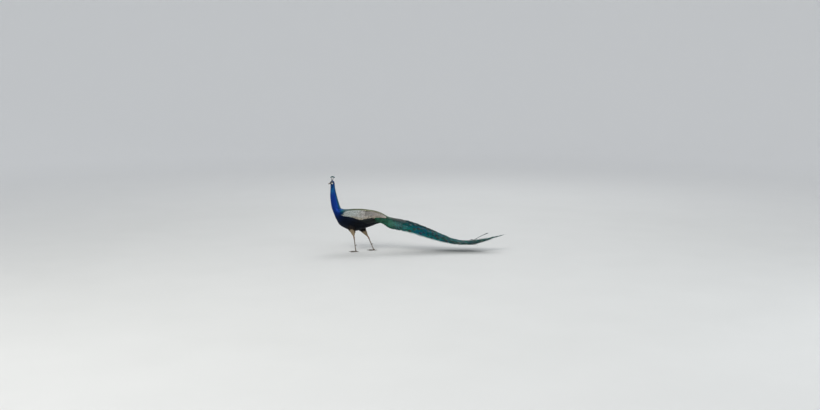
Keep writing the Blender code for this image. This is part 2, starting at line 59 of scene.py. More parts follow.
# --- the body's plan: where each section meets the back (x, z) and the underside (x, z), and half its width
SECTIONS = (
    ((-0.9850, 0.7795), (-0.9825, 0.7610), 0.0088), ((-0.9685, 0.7960), (-0.9725, 0.7500), 0.0165),
    ((-0.9485, 0.7975), (-0.9780, 0.7330), 0.0190), ((-0.9315, 0.7760), (-0.9790, 0.7090), 0.0205),
    ((-0.9260, 0.7120), (-0.9800, 0.6720), 0.0260), ((-0.9070, 0.6250), (-0.9815, 0.6120), 0.0350),
    ((-0.8750, 0.5120), (-0.9695, 0.5080), 0.0460), ((-0.8520, 0.4800), (-0.9480, 0.4410), 0.0600),
    ((-0.7950, 0.4750), (-0.9130, 0.3580), 0.0830), ((-0.7000, 0.4790), (-0.8600, 0.2860), 0.1030),
    ((-0.6000, 0.4760), (-0.7150, 0.2320), 0.1080), ((-0.5000, 0.4580), (-0.5550, 0.2750), 0.0900),
    ((-0.4000, 0.4200), (-0.4250, 0.3230), 0.0560), ((-0.3350, 0.3820), (-0.3450, 0.3370), 0.0380),
)
LAST_SECTION = len(SECTIONS) - 1
FULLER_ABOVE = 0.10  # how much wider a section is above its middle than below
NECK_AXIS = np.array((-0.956, 0.0, 0.0))
TWIST_FROM, TWIST_TO = 0.60, 0.745  # heights between which the neck turns the head
FLESH = ("head", "neck_upper", "neck_middle", "neck_lower", "breast", "trunk", "rump")
SIDES = {"left": -1, "right": 1}

# --- colours, linear ---
COBALT = (0.005, 0.041, 0.290)
ROYAL = (0.003, 0.026, 0.195)
AZURE = (0.009, 0.112, 0.320)
TEAL = (0.004, 0.150, 0.190)
NAVY = (0.004, 0.016, 0.090)
MIDNIGHT = (0.003, 0.006, 0.018)
SOOT = (0.005, 0.005, 0.006)
GOLD_GREEN = (0.075, 0.120, 0.022)
EARTH = (0.060, 0.042, 0.028)
BUFF = (0.370, 0.285, 0.180)
BARE_WHITE = (0.600, 0.595, 0.575)
LORE = (0.004, 0.012, 0.030)
LEG_GREY = (0.210, 0.175, 0.140)


def mix(a, b, share):
    """From a to b by a share, for each colour."""
    a, b = np.asarray(a, float), np.asarray(b, float)
    share = np.asarray(share, float)[..., None]
    return a + (b - a) * share


def layered(base, *layers):
    """A colour with others laid over it in turn, each (colour, share)."""
    for colour, share in layers:
        base = mix(base, colour, share)
    return base


def smooth(low, high, x):
    """0 before low and 1 past high, with an even turn between; high may be the smaller one."""
    t = np.clip((np.asarray(x, float) - low) / (high - low), 0.0, 1.0)
    return t * t * (3 - 2 * t)


def unit(v):
    """Vectors of length one."""
    return v / np.maximum(np.linalg.norm(v, axis=-1, keepdims=True), 1e-12)


def keyed(keys, x):
    """Values on a smooth curve through the keys (x, value or values)."""
    xs = np.array([k[0] for k in keys], float)
    ys = np.array([k[1] for k in keys], float)
    ys = ys.reshape(len(xs), -1)
    x = np.clip(np.asarray(x, float), xs[0], xs[-1])
    i = np.clip(np.searchsorted(xs, x, side="right") - 1, 0, len(xs) - 2)
    before, after = np.maximum(np.arange(len(xs)) - 1, 0), np.minimum(np.arange(len(xs)) + 1, len(xs) - 1)
    slope = (ys[after] - ys[before]) / (xs[after] - xs[before])[:, None]
    span = (xs[i + 1] - xs[i])[..., None]
    t = ((x - xs[i])[..., None]) / span
    out = (
        ys[i] * (2 * t**3 - 3 * t**2 + 1)
        + slope[i] * span * (t**3 - 2 * t**2 + t)
        + ys[i + 1] * (3 * t**2 - 2 * t**3)
        + slope[i + 1] * span * (t**3 - t**2)
    )
    return out[..., 0] if out.shape[-1] == 1 and np.ndim(keys[0][1]) == 0 else out


# --- reading the solids ---
def surface_of(names):
    """A search tree over some solids, and the solid of each of its triangles."""
    corners, triangles, owners = [], [], []
    for k, name in enumerate(names):
        mesh = NODES[name].data
        start = len(corners)
        corners.extend(v.co.copy() for v in mesh.vertices)
        mesh.calc_loop_triangles()
        for tri in mesh.loop_triangles:
            triangles.append([start + v for v in tri.vertices])
            owners.append(k)
    return BVHTree.FromPolygons(corners, triangles), np.array(owners)


def centre_of(name):
    """The middle of a solid's box."""
    low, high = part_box(name)
    return np.array((low + high) / 2)


EYES = {side: centre_of(f"eye_{side}") for side in SIDES}
EYE_RADIUS = float((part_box("eye_left")[1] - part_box("eye_left")[0]).z) / 2 * 0.93  # the rest is the lids'
EYE_INSET = 0.0008  # how much deeper the eyes lie than the solid ones
HEAD_RIGHT = unit(EYES["right"] - EYES["left"])
EYES = {side: centre - HEAD_RIGHT * SIDES[side] * EYE_INSET for side, centre in EYES.items()}
HEAD_TURN = math.atan2(-HEAD_RIGHT[0], HEAD_RIGHT[1])
HEAD_AHEAD = np.array((-HEAD_RIGHT[1], HEAD_RIGHT[0], 0.0))
BETWEEN_EYES = (EYES["left"] + EYES["right"]) / 2
EYE_TURN = math.radians(18)  # how far the eyes look ahead of straight sideways
EYE_WAYS = {
    side: (
        HEAD_RIGHT * hand * math.cos(EYE_TURN) + HEAD_AHEAD * math.sin(EYE_TURN),
        HEAD_AHEAD * math.cos(EYE_TURN) - HEAD_RIGHT * hand * math.sin(EYE_TURN),
    )
    for side, hand in SIDES.items()
}


def twist(points):
    """Turns points of the unturned bird as the neck does."""
    turn = HEAD_TURN * smooth(TWIST_FROM, TWIST_TO, points[..., 2])
    x, y = points[..., 0] - NECK_AXIS[0], points[..., 1]
    c, s = np.cos(turn), np.sin(turn)
    return np.stack((c * x - s * y + NECK_AXIS[0], s * x + c * y, points[..., 2]), -1)


SECTION_KEYS = [(i, (b[0], 0, b[1], u[0], 0, u[1], w)) for i, (b, u, w) in enumerate(SECTIONS)]


def planes(s):
    """The centre, the way to the back, the way to the right and the reach of the planes across the body."""
    s = np.asarray(s, float)
    values = keyed(SECTION_KEYS, s)
    back, under = twist(values[:, :3]), twist(values[:, 3:6])
    centre = (back + under) / 2
    up = unit(back - under)
    turn = HEAD_TURN * smooth(TWIST_FROM, TWIST_TO, centre[:, 2])
    right = np.stack((-np.sin(turn), np.cos(turn), np.zeros(len(s))), -1)
    right = unit(right - up * np.sum(up * right, -1, keepdims=True))
    return centre, up, right, np.linalg.norm(back - under, axis=-1) / 2


class Patch:
    """A surface given by a grid of points: u along the lie of the feathers, v across."""

    def __init__(self, u, v, points, wraps=False, outward=1):
        self.u, self.v, self.points, self.wraps = np.array(u, float), np.array(v, float), points, wraps
        along = np.gradient(points, axis=0)
        if wraps:
            across = (np.roll(points, -1, 1) - np.roll(points, 1, 1)) / 2
        else:
            across = np.gradient(points, axis=1)
        self.along, self.across = unit(along), unit(across)
        self.normal = unit(np.cross(self.along, self.across)) * outward
        steps = np.linalg.norm(np.diff(points, axis=0), axis=-1)
        self.arc = np.vstack((np.zeros(points.shape[1]), np.cumsum(steps, 0)))

    def place(self, u, v):
        """Grid indices and weights for given u and v."""
        iu = np.interp(u, self.u, np.arange(len(self.u)))
        count = len(self.v)
        if self.wraps:
            iv = np.mod((np.asarray(v) - self.v[0]) / (self.v[1] - self.v[0]), count)
        else:
            iv = np.interp(v, self.v, np.arange(count))
        i = np.clip(iu.astype(int), 0, len(self.u) - 2)
        j = np.floor(iv).astype(int)
        if self.wraps:
            j, k = j % count, (j + 1) % count
        else:
            j = np.clip(j, 0, count - 2)
            k = j + 1
        return i, j, k, iu - i, iv - np.floor(iv) if self.wraps else iv - j

    def read(self, field, u, v):
        """The field's values at u and v, in even steps between the grid's."""
        i, j, k, a, b = self.place(u, v)
        if field.ndim == 3:
            a, b = a[..., None], b[..., None]
        return (
            field[i, j] * (1 - a) * (1 - b)
            + field[i + 1, j] * a * (1 - b)
            + field[i, k] * (1 - a) * b
            + field[i + 1, k] * a * b
        )

    def at(self, u, v):
        """The point, and the ways up, along and across."""
        return (
            self.read(self.points, u, v),
            unit(self.read(self.normal, u, v)),
            unit(self.read(self.along, u, v)),
            unit(self.read(self.across, u, v)),
        )

    def ahead(self, u, v, distance):
        """The point at a distance further along the lie, straight on where the surface ends."""
        target = self.read(self.arc, u, v) + distance
        _, j, k, _, b = self.place(u, v)
        table = self.arc[:, j] * (1 - b) + self.arc[:, k] * b
        target_in = np.clip(target, 0, table[-1])
        row = np.clip((table < target_in).sum(0) - 1, 0, len(self.u) - 2)
        columns = np.arange(len(row))
        low, high = table[row, columns], table[row + 1, columns]
        share = (target_in - low) / np.maximum(high - low, 1e-9)
        new_u = self.u[row] + (self.u[row + 1] - self.u[row]) * share
        point, normal, along, across = self.at(new_u, v)
        beyond = target - target_in
        return point + along * beyond[:, None], normal, along, across, new_u


def cast(tree, owners, centre, directions, start):
    """How far out each ray from the centre leaves the solids, found from outside, and the solid hit."""
    reach = np.full(len(directions), np.nan)
    owner = np.full(len(directions), -1)
    middle = Vector(centre)
    for k, way in enumerate(directions):
        way = Vector(way)
        hit, _, index, distance = tree.ray_cast(middle + way * start, -way, start)
        if hit is not None:
            reach[k] = start - distance
            owner[k] = owners[index]
    return reach, owner


def softened(field, along, across, wraps=True):
    """A grid of values evened out by small steps along and across."""
    for _ in range(across):
        if wraps:
            field = (np.roll(field, 1, 1) + np.roll(field, -1, 1) + 2 * field) / 4
        else:
            inner = (field[:, :-2] + field[:, 2:] + 2 * field[:, 1:-1]) / 4
            field = np.concatenate((field[:, :1], inner, field[:, -1:]), 1)
    for _ in range(along):
        inner = (field[:-2] + field[2:] + 2 * field[1:-1]) / 4
        field = np.concatenate((field[:1], inner, field[-1:]), 0)
    return field


BODY_S = np.concatenate((np.linspace(0.02, 3.0, 72, endpoint=False), np.linspace(3.0, 12.97, 121)))
BODY_TURNS = 96
BODY_ANGLES = np.arange(BODY_TURNS) * 2 * PI / BODY_TURNS


def around_body():
    """A grid round the body, section by section."""
    values = keyed(SECTION_KEYS, BODY_S)
    back, under, half = values[:, None, :3], values[:, None, 3:6], values[:, 6]
    c, sn = np.cos(BODY_ANGLES), np.sin(BODY_ANGLES)
    points = (back + under) / 2 + (back - under) / 2 * c[None, :, None]
    points[..., 1] += half[:, None] * sn * (1 + FULLER_ABOVE * c)
    return twist(points)


def rounded_front(points):
    """A few more rings in front, that close in round the bill."""
    middle = points[0].mean(0)
    ahead = unit(middle - points[6].mean(0))
    rings = [
        middle + (points[0] - middle) * size + ahead * step
        for size, step in ((0.80, 0.0022), (0.90, 0.0016), (0.965, 0.0008))
    ]
    return np.concatenate((rings, points))


BODY = Patch(np.concatenate(((-0.18, -0.12, -0.05), BODY_S)), BODY_ANGLES, rounded_front(around_body()), wraps=True)
BODY_S = BODY.u
BODY_GRID, BODY_NORMALS = BODY.points.reshape(-1, 3), BODY.normal.reshape(-1, 3)


# --- the wings' surfaces ---
WING_NODES = ("coverts", "tertials", "flight")
WING_PARTS = {"upper": (0, 1), "flight": (2,)}  # which of them make up each surface
WING_S = np.linspace(7.50, 12.78, 80)
WING_SHARES = np.linspace(0, 1, 21)


def wing_reach():
    """Round each plane, on the right side: the solid met and how far out, at fine angles."""
    names = list(FLESH) + [f"wing_right_{part}" for part in WING_NODES]
    tree, owners = surface_of(names)
    centre, up, right, reach = planes(WING_S)
    angles = np.radians(np.arange(8, 130, 1.5))
    rows = []
    for i in range(len(WING_S)):
        ways = np.cos(angles)[:, None] * up[i] + np.sin(angles)[:, None] * right[i]
        radii, owner = cast(tree, owners, centre[i], ways, reach[i] * 1.25 + 0.055)
        rows.append((radii, owner - len(FLESH)))
    return angles, rows, centre, up, right


def wing_patches():
    """The upper side of the barred feathers and of the dark flight feathers, for both wings."""
    angles, rows, centre, up, right = wing_reach()
    patches = {}
    for name, parts in WING_PARTS.items():
        masks = [np.isin(owner, parts) for _, owner in rows]
        ends = np.array([angles[mask][[0, -1]] if mask.sum() > 1 else (np.nan, np.nan) for mask in masks])
        good = ~np.isnan(ends[:, 0])
        first, last = np.flatnonzero(good)[[0, -1]]
        ends = softened(np.stack([np.interp(WING_S, WING_S[good], end[good]) for end in ends.T], -1), 6, 0)
        kept = np.arange(first, last + 1)
        turns = ends[kept, :1] + (ends[kept, 1:] - ends[kept, :1]) * WING_SHARES
        reach = np.zeros_like(turns)
        for n, i in enumerate(kept):
            mask = masks[i]
            reach[n] = np.interp(turns[n], angles[mask], rows[i][0][mask]) if mask.any() else reach[n - 1]
        reach = softened(reach, 3, 2, wraps=False)
        ways = np.cos(turns)[..., None] * up[kept, None] + np.sin(turns)[..., None] * right[kept, None]
        grid = centre[kept, None] + ways * reach[..., None]
        for side, hand in SIDES.items():
            patches[side, name] = Patch(WING_S[kept], WING_SHARES, grid * (1, hand, 1), outward=hand)
    return patches


WINGS = wing_patches()

# --- the train's surface ---
TRAIN_STRIPS = (1, 2, 3, 4)
TRAIN_NODES = ["train_middle"] + [f"train_{side}_{k}" for side in SIDES for k in TRAIN_STRIPS]


def highest(x, values, stations, step=0.06):
    """The upper edge of scattered values along x, read at some stations."""
    bins = np.floor((x - x.min()) / step).astype(int)
    tops = [(x[bins == b][values[bins == b].argmax()], values[bins == b].max()) for b in np.unique(bins)]
    line = np.interp(stations, [t[0] for t in tops], [t[1] for t in tops])
    return softened(line[:, None], 8, 0)[:, 0]


def train_patch():
    """The train's upper side: u is X, v runs from its left edge, -1, to its right edge, 1."""
    tree, owners = surface_of(TRAIN_NODES)
    corners = np.array([v.co for name in TRAIN_NODES for v in NODES[name].data.vertices])
    start, end = corners[:, 0].min() + 0.004, corners[:, 0].max() - 0.003
    xs = np.linspace(start, end, 150)
    share = np.linspace(-1, 1, 45)
    fan = np.radians(np.arange(-135, 135.1, 3))
    ridge, half = (highest(corners[:, 0], values, xs) for values in (corners[:, 2], np.abs(corners[:, 1])))
    reach, widest = [], []
    for x, top, wide in zip(xs, ridge, half):
        ways = np.stack((np.zeros(len(fan)), np.sin(fan), np.cos(fan)), -1)
        radii, _ = cast(tree, owners, (x, 0, top - wide), ways, wide * 1.6 + 0.03)
        hit = np.flatnonzero(~np.isnan(radii))
        if len(hit) < 2:
            reach.append(reach[-1])
            widest.append(widest[-1] * 0.5)
            continue
        widest.append(float(np.abs(fan[hit]).max()))
        reach.append(np.interp(fan, fan[hit], radii[hit]))
    turns = softened(np.array(widest)[:, None], 2, 0) * share
    radii = np.array([np.interp(turns[i], fan, reach[i]) for i in range(len(xs))])
    radii = softened(radii, 3, 2, wraps=False)
    flat = np.repeat(xs[:, None], len(share), 1)
    grid = np.stack((flat, radii * np.sin(turns), (ridge - half)[:, None] + radii * np.cos(turns)), -1)
    return Patch(xs, share, grid)


TRAIN = train_patch()

# --- the thighs' surfaces ---
LEGS = {
    "left": ((-0.744, -0.052, 0.305), (-0.716, -0.052, 0.166), (-0.696, -0.050, 0.0)),
    "right": ((-0.668, 0.052, 0.305), (-0.558, 0.052, 0.148), (-0.497, 0.050, 0.0)),
}
THIGH_END = 0.86
THIGH_U = np.linspace(0.02, THIGH_END, 26)
THIGH_TURNS = 40
THIGH_COAT = 0.0035  # how thick the feathers lie on it


def thigh_patch(side):
    """The thigh's surface: u is the share of the way from hip to hock, v the turn round it."""
    tree, owners = surface_of([f"thigh_{side}"])
    hip, hock = np.array(LEGS[side][0]), np.array(LEGS[side][1])
    along = unit(hock - hip)
    right = unit(np.cross(along, (1, 0, 0)))
    front = np.cross(right, along)
    turns = np.arange(THIGH_TURNS) * 2 * PI / THIGH_TURNS
    ways = np.cos(turns)[:, None] * right + np.sin(turns)[:, None] * front
    radii = np.zeros((len(THIGH_U), THIGH_TURNS))
    for i in range(len(THIGH_U) - 1, -1, -1):
        centre = hip + (hock - hip) * min(THIGH_U[i], THIGH_END - 0.01)
        row, _ = cast(tree, owners, centre, ways, 0.09)
        row = np.where(row < 0.004, np.nan, row)
        if np.isnan(row).any():
            grown = radii[i + 1] * 1.03 if i + 1 < len(THIGH_U) else np.full(THIGH_TURNS, 0.01)
            row = np.where(np.isnan(row), grown, row)
        radii[i] = row
    radii = softened(radii, 2, 2)
    centres = hip + (hock - hip) * THIGH_U[:, None]
    return Patch(THIGH_U, turns, centres[:, None] + ways * radii[..., None], wraps=True)


THIGHS = {side: thigh_patch(side) for side in SIDES}


# --- feathers as solid vanes ---
class Form:
    """One closed shape that is repeated: corners as (across, along, up), and its faces."""

    def __init__(self, corners, faces):
        self.corners = np.array(corners, float)
        self.faces = faces
        self.loops = np.concatenate([np.array(f) for f in faces])
        self.counts = np.array([len(f) for f in faces])


UNDERSIDE = -0.5  # how far a vane's lower side is under its rim, when its upper side swells by 1


def vane(rows, cells=2, shaft=0.6):
    """A lens-thin vane. rows are (along, half width) and the middle column stands up as the shaft."""
    columns = np.linspace(-1, 1, cells + 1)
    corners, top, bottom = [], {}, {}
    last = len(rows) - 1
    for i, (along, half) in enumerate(rows):
        swell = math.sin(PI * min(1.0, 0.15 + 0.85 * i / last)) if 0 < i < last else 0.0
        for j, x in enumerate(columns):
            rim = i in (0, last) or j in (0, cells)
            up = 0.0 if rim else swell * (1 - 0.6 * x * x) + (0.0 if x else shaft)
            top[i, j] = len(corners)
            corners.append((x * half, along, up))
            if rim:
                bottom[i, j] = top[i, j]
    for i, (along, half) in enumerate(rows):
        for j, x in enumerate(columns):
            if (i, j) not in bottom:
                bottom[i, j] = len(corners)
                corners.append((x * half, along, UNDERSIDE))
    faces = []
    for i in range(last):
        for j in range(cells):
            faces.append((top[i, j], top[i + 1, j], top[i + 1, j + 1], top[i, j + 1]))
            faces.append((bottom[i, j], bottom[i, j + 1], bottom[i + 1, j + 1], bottom[i + 1, j]))
    return Form(corners, faces)


def spike():
    """A closed barb of three sides that runs to a point."""
    segments, taper = 2, 0.75
    corners, rings = [], []
    for i in range(segments):
        half = 1 - taper * i / segments
        rings.append(tuple(range(len(corners), len(corners) + 3)))
        corners += [(-half, i / segments, 0.0), (0.0, i / segments, half), (half, i / segments, 0.0)]
    point = len(corners)
    corners.append((0.0, 1.0, 0.0))
    faces = [(rings[0][2], rings[0][1], rings[0][0])]
    for a, b in zip(rings, rings[1:]):
        for k in range(3):
            m = (k + 1) % 3
            faces.append((a[m], a[k], b[k], b[m]))
    for k in range(3):
        m = (k + 1) % 3
        faces.append((rings[-1][m], rings[-1][k], point))
    return Form(corners, faces)


SMALL = vane(((0, 0.40), (0.55, 1.0), (0.88, 0.80), (1.0, 0.30)))
TINY = vane(((0, 0.55), (0.6, 1.0), (1.0, 0.42)))
SOFT = vane(((0, 0.30), (0.30, 0.74), (0.58, 1.0), (0.80, 0.90), (0.93, 0.60), (1.0, 0.22)))
QUILL = vane(
    (
        (0, 0.18), (0.10, 0.55), (0.22, 0.85), (0.36, 0.96), (0.50, 1.0),
        (0.64, 1.0), (0.78, 0.95), (0.88, 0.80), (0.95, 0.55), (1.0, 0.20),
    ),
    4,
    0.9,
)
LOOSE = vane(((0, 0.35), (0.30, 0.80), (0.60, 0.80), (0.85, 0.48), (1.0, 0.12)))
ROUND = vane(
    ((0, 0.25), (0.25, 0.62), (0.50, 0.88), (0.70, 1.0), (0.82, 0.95), (0.91, 0.76), (0.97, 0.48), (1.0, 0.20)), 4
)
BARB = spike()


def lay(patch, u, v, length, rise, skew=0.0, roll=0.0):
    """The root, middle and tip of feathers on a patch, raised by rise from it, with their ways up and across."""
    u, v, length = (np.asarray(a, float) for a in (u, v, length))
    rise = [np.broadcast_to(np.asarray(r, float), u.shape)[:, None] for r in rise]
    root, n0, _, _ = patch.at(u, v)
    mid, n1, _, _, _ = patch.ahead(u, v + skew * 0.5, length * 0.5)
    tip, n2, _, _, _ = patch.ahead(u, v + skew, length)
    root, mid, tip = root + n0 * rise[0], mid + n1 * rise[1], tip + n2 * rise[2]
    return rolled(root, mid, tip, n0, n2, roll)


def rolled(root, mid, tip, n0, n2, roll=0.0):
    """Feathers through their own points, turned by roll about their length; n0 and n2 point up at root and tip."""
    first, second = unit(mid - root), unit(tip - mid)
    roll = np.broadcast_to(np.asarray(roll, float), (len(root),))[:, None]
    out = []
    for way, normal in ((first, n0), (second, n2)):
        across = unit(np.cross(normal, way))
        up = np.cross(way, across)
        out.append((across * np.cos(roll) + up * np.sin(roll), up * np.cos(roll) - across * np.sin(roll)))
    return {"root": root, "mid": mid, "tip": tip, "across": (out[0][0], out[1][0]), "up": (out[0][1], out[1][1])}


SHARP_ANGLE = 70  # degrees; edges that fold more than this look sharp


class Coat:
    """Many copies of the forms, joined into one mesh."""

    def __init__(self, name):
        self.name = name
        self.parts = []

    def add(self, form, laid, half_width, tint, unwrap, thick=0.0002, camber=0.15, patch_size=0.003):
        """Adds a copy of the form for each laid feather.

        unwrap is each root's place on the surface laid flat, and patch_size how large each feather is there.
        """
        count = len(laid["root"])
        across, along, up = form.corners.T
        y = along[None, :, None]
        centre = (
            laid["root"][:, None] * ((1 - y) * (1 - 2 * y))
            + laid["mid"][:, None] * (4 * y * (1 - y))
            + laid["tip"][:, None] * (y * (2 * y - 1))
        )
        side = laid["across"][0][:, None] * (1 - y) + laid["across"][1][:, None] * y
        normal = laid["up"][0][:, None] * (1 - y) + laid["up"][1][:, None] * y
        half = np.broadcast_to(np.asarray(half_width, float), (count,))[:, None, None]
        thick = np.broadcast_to(np.asarray(thick, float), (count,))[:, None, None]
        x, z = across[None, :, None], up[None, :, None]
        points = centre + side * (x * half) + normal * (z * thick - camber * x * x * half)
        vane_uv = np.tile(np.stack(((across + 1) / 2, along), -1), (count, 1))
        legs = (laid["mid"] - laid["root"], laid["tip"] - laid["mid"])
        reach = sum(np.linalg.norm(leg, axis=-1) for leg in legs)
        span = np.stack((across * half[..., 0], along * reach[:, None]), -1) * 10
        tint = np.broadcast_to(np.asarray(tint, float), (count, 4))
        self.parts.append(
            dict(
                form=form,
                count=count,
                points=points.reshape(-1, 3),
                vane=vane_uv,
                span=span.reshape(-1, 2),
                bake=np.repeat(unwrap, len(across), 0),
                spread=(vane_uv - 0.5) * patch_size,
                tint=np.repeat(tint, len(across), 0),
                seed=np.repeat(rng.random(count), len(across)),
            )
        )

    def build(self, finish, slot, replaces=()):
        """Joins the copies into one mesh with its maps and attributes."""
        loops, counts, start = [], [], 0
        for p in self.parts:
            size = len(p["form"].corners)
            offsets = start + np.arange(p["count"]) * size
            loops.append((p["form"].loops[None] + offsets[:, None]).ravel())
            counts.append(np.tile(p["form"].counts, p["count"]))
            start += p["count"] * size
        loops, counts = np.concatenate(loops), np.concatenate(counts)
        fields = ("points", "vane", "span", "bake", "spread", "tint", "seed")
        whole = {key: np.concatenate([p[key] for p in self.parts]) for key in fields}
        mesh = bpy.data.meshes.new(self.name)
        mesh.vertices.add(start)
        mesh.vertices.foreach_set("co", whole["points"].ravel().astype(np.float32))
        mesh.loops.add(len(loops))
        mesh.loops.foreach_set("vertex_index", loops.astype(np.int32))
        mesh.polygons.add(len(counts))
        mesh.polygons.foreach_set("loop_start", np.concatenate(([0], np.cumsum(counts)[:-1])).astype(np.int32))
        mesh.update(calc_edges=True)
        mesh.shade_smooth()
        mesh.set_sharp_from_angle(angle=math.radians(SHARP_ANGLE))
        low, high = whole["bake"].min(0), whole["bake"].max(0)
        bake = 0.01 + 0.98 * (whole["bake"] - low) / np.maximum(high - low, 1e-9)
        bake = np.clip(bake + whole["spread"], 0.0, 1.0)
        for layer, values in (("vane", whole["vane"]), ("span", whole["span"]), ("OFBake", bake)):
            mesh.uv_layers.new(name=layer).data.foreach_set("uv", values[loops].ravel().astype(np.float32))
        add_attribute(mesh, "tint", whole["tint"])
        add_attribute(mesh, "seed", whole["seed"])
        mesh.materials.append(finish)
        return place(bpy.data.objects.new(self.name, mesh), replaces)


def add_attribute(mesh, name, values):
    """A colour or a number for each of a mesh's points."""
    values = np.asarray(values, np.float32)
    kind, field = ("FLOAT_COLOR", "color") if values.ndim == 2 else ("FLOAT", "value")
    if name in mesh.attributes:
        mesh.attributes.remove(mesh.attributes[name])
    mesh.attributes.new(name, kind, "POINT").data.foreach_set(field, values.ravel())


def place(obj, replaces=()):
    """Links a finished piece, hangs it from the root, and hides the solids that it replaces."""
    if obj.name not in bpy.context.scene.collection.objects:
        bpy.context.scene.collection.objects.link(obj)
    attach(obj, "root")
    if replaces:
        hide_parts(*replaces)
    return obj


def always(value):
    """A function that gives the same value everywhere."""
    return lambda u: value


def rows_on(patch, first, last, low, high, step, spacing, v_line):
    """Roots in staggered rows: step along the line v_line and spacing across, both read at u."""
    jitter, probes = 0.12, 72
    us, vs, steps, spacings = [], [], [], []
    u, row, count = float(first), 0, 0
    line = np.full(len(patch.u), float(v_line))
    arcs = patch.read(patch.arc, patch.u, line)
    while u < last:
        a, b = float(low(u)), float(high(u))
        if b > a:
            ladder = np.linspace(a, b, probes)
            ring = patch.read(patch.points, np.full(probes, u), ladder)
            lengths = np.concatenate(([0], np.cumsum(np.linalg.norm(np.diff(ring, axis=0), axis=-1))))
            wanted = lengths[-1] / float(spacing(u))
            if not count or abs(wanted / count - 1) > 0.12:
                count = max(1, round(wanted))
            shares = (np.arange(count) + (0.5 if row % 2 else 0.0) + 0.25) / count
            vs.append(np.interp(shares * lengths[-1], lengths, ladder))
            us.append(np.full(count, u))
            steps.append(np.full(count, float(step(u))))
            spacings.append(np.full(count, lengths[-1] / count))
        row += 1
        u = float(np.interp(np.interp(u, patch.u, arcs) + float(step(u)), arcs, patch.u))
        if np.interp(u, patch.u, arcs) >= arcs[-1] - 1e-6:
            break
    us, vs, steps, spacings = (np.concatenate(a) for a in (us, vs, steps, spacings))
    per_metre = np.gradient(patch.u) / np.gradient(arcs)
    us = us + rng.normal(0, jitter, len(us)) * steps * np.interp(us, patch.u, per_metre)
    return np.clip(us, patch.u[0], patch.u[-1]), vs, steps, spacings


# --- finishes ---
class Graph:
    """A node tree with short ways to add and join its nodes."""

    def __init__(self, tree):
        self.tree = tree

    def node(self, kind, inputs=None, **settings):
        made = self.tree.nodes.new(kind)
        for name, value in settings.items():
            setattr(made, name, value)
        for key, value in (inputs or {}).items():
            self.join(value, made.inputs[key])
        return made

    def join(self, value, target):
        if isinstance(value, bpy.types.NodeSocket):
            self.tree.links.new(value, target)
        elif hasattr(value, "__len__") and target.type == "RGBA" and len(value) == 3:
            target.default_value = (*value, 1.0)
        else:
            target.default_value = value

    def math(self, operation, a, b=0.0, c=0.0):
        return self.node("ShaderNodeMath", {0: a, 1: b, 2: c}, operation=operation).outputs[0]

    def times(self, a, b):
        return self.math("MULTIPLY", a, b)

    def plus(self, a, b):
        return self.math("ADD", a, b)

    def scaled(self, a, by, then):
        """a times by, and then something more."""
        return self.math("MULTIPLY_ADD", a, by, then)

    def squared(self, a):
        return self.math("POWER", a, 2.0)

    def blend(self, share, a, b):
        made = self.node("ShaderNodeMix", data_type="RGBA")
        for name, value in (("Factor", share), ("A", a), ("B", b)):
            self.join(value, made.inputs[name])
        return made.outputs["Result"]

    def ramp(self, value, stops):
        """Colours at stops along a value; a bare number stands for a grey."""
        made = self.node("ShaderNodeValToRGB", {0: value})
        elements = made.color_ramp.elements
        while len(elements) < len(stops):
            elements.new(0.5)
        for element, (at, colour) in zip(elements, stops):
            element.position = at
            element.color = (*np.broadcast_to(colour, 3), 1.0)
        return made.outputs[0]

    def attribute(self, name, output="Fac"):
        return self.node("ShaderNodeAttribute", attribute_name=name).outputs[output]

    def map(self, name):
        return self.node("ShaderNodeUVMap", uv_map=name).outputs[0]

    def place(self):
        return self.node("ShaderNodeTexCoord").outputs["Object"]

    def split(self, vector):
        return self.node("ShaderNodeSeparateXYZ", {"Vector": vector}).outputs

    def noise(self, at, scale, detail=3.0):
        return self.node("ShaderNodeTexNoise", {"Vector": at, "Scale": scale, "Detail": detail}).outputs[0]

    def shaded(self, colour, shade):
        return self.node("ShaderNodeVectorMath", {0: colour, "Scale": shade}, operation="SCALE").outputs[0]

    def bump(self, shader, height, strength, distance):
        made = self.node("ShaderNodeBump", {"Strength": strength, "Distance": distance, "Height": height})
        self.join(made.outputs[0], shader.inputs["Normal"])


def barb_lines():
    """Node group: the fine barbs that run out from a feather's shaft, and the place on the feather.

    Side is 0 at the shaft and 1 at the edge, Along runs from 0 to 1, and Span is the place in decimetres.
    """
    group = bpy.data.node_groups.new("barb lines", "ShaderNodeTree")
    for names, kind, direction in (
        (("Pitch",), "NodeSocketFloat", "INPUT"),
        (("Lines", "Side", "Along", "Noise"), "NodeSocketFloat", "OUTPUT"),
        (("Span",), "NodeSocketVector", "OUTPUT"),
    ):
        for name in names:
            group.interface.new_socket(name=name, in_out=direction, socket_type=kind)
    g = Graph(group)
    into, out = g.node("NodeGroupInput"), g.node("NodeGroupOutput")
    across, along, _ = g.split(g.map("vane"))
    span, seed = g.map("span"), g.attribute("seed")
    moved = g.node("ShaderNodeCombineXYZ", {"X": g.times(seed, 37.0), "Y": g.times(seed, 11.0)})
    shifted = g.node("ShaderNodeVectorMath", {0: span, 1: moved.outputs[0]}, operation="ADD").outputs[0]
    wobble = g.noise(shifted, 9.0)
    from_shaft, run, _ = g.split(span)
    line = g.math("SUBTRACT", run, g.math("ABSOLUTE", from_shaft))
    line = g.plus(line, g.times(wobble, 0.03))
    wave = g.math("SINE", g.math("DIVIDE", g.times(line, 2 * PI), into.outputs["Pitch"]))
    for name, value in (
        ("Lines", g.scaled(wave, 0.5, 0.5)),
        ("Side", g.math("ABSOLUTE", g.scaled(across, 2.0, -1.0))),
        ("Along", along),
        ("Noise", wobble),
        ("Span", shifted),
    ):
        g.join(value, out.inputs[name])
    return group


BARB_LINES = barb_lines()


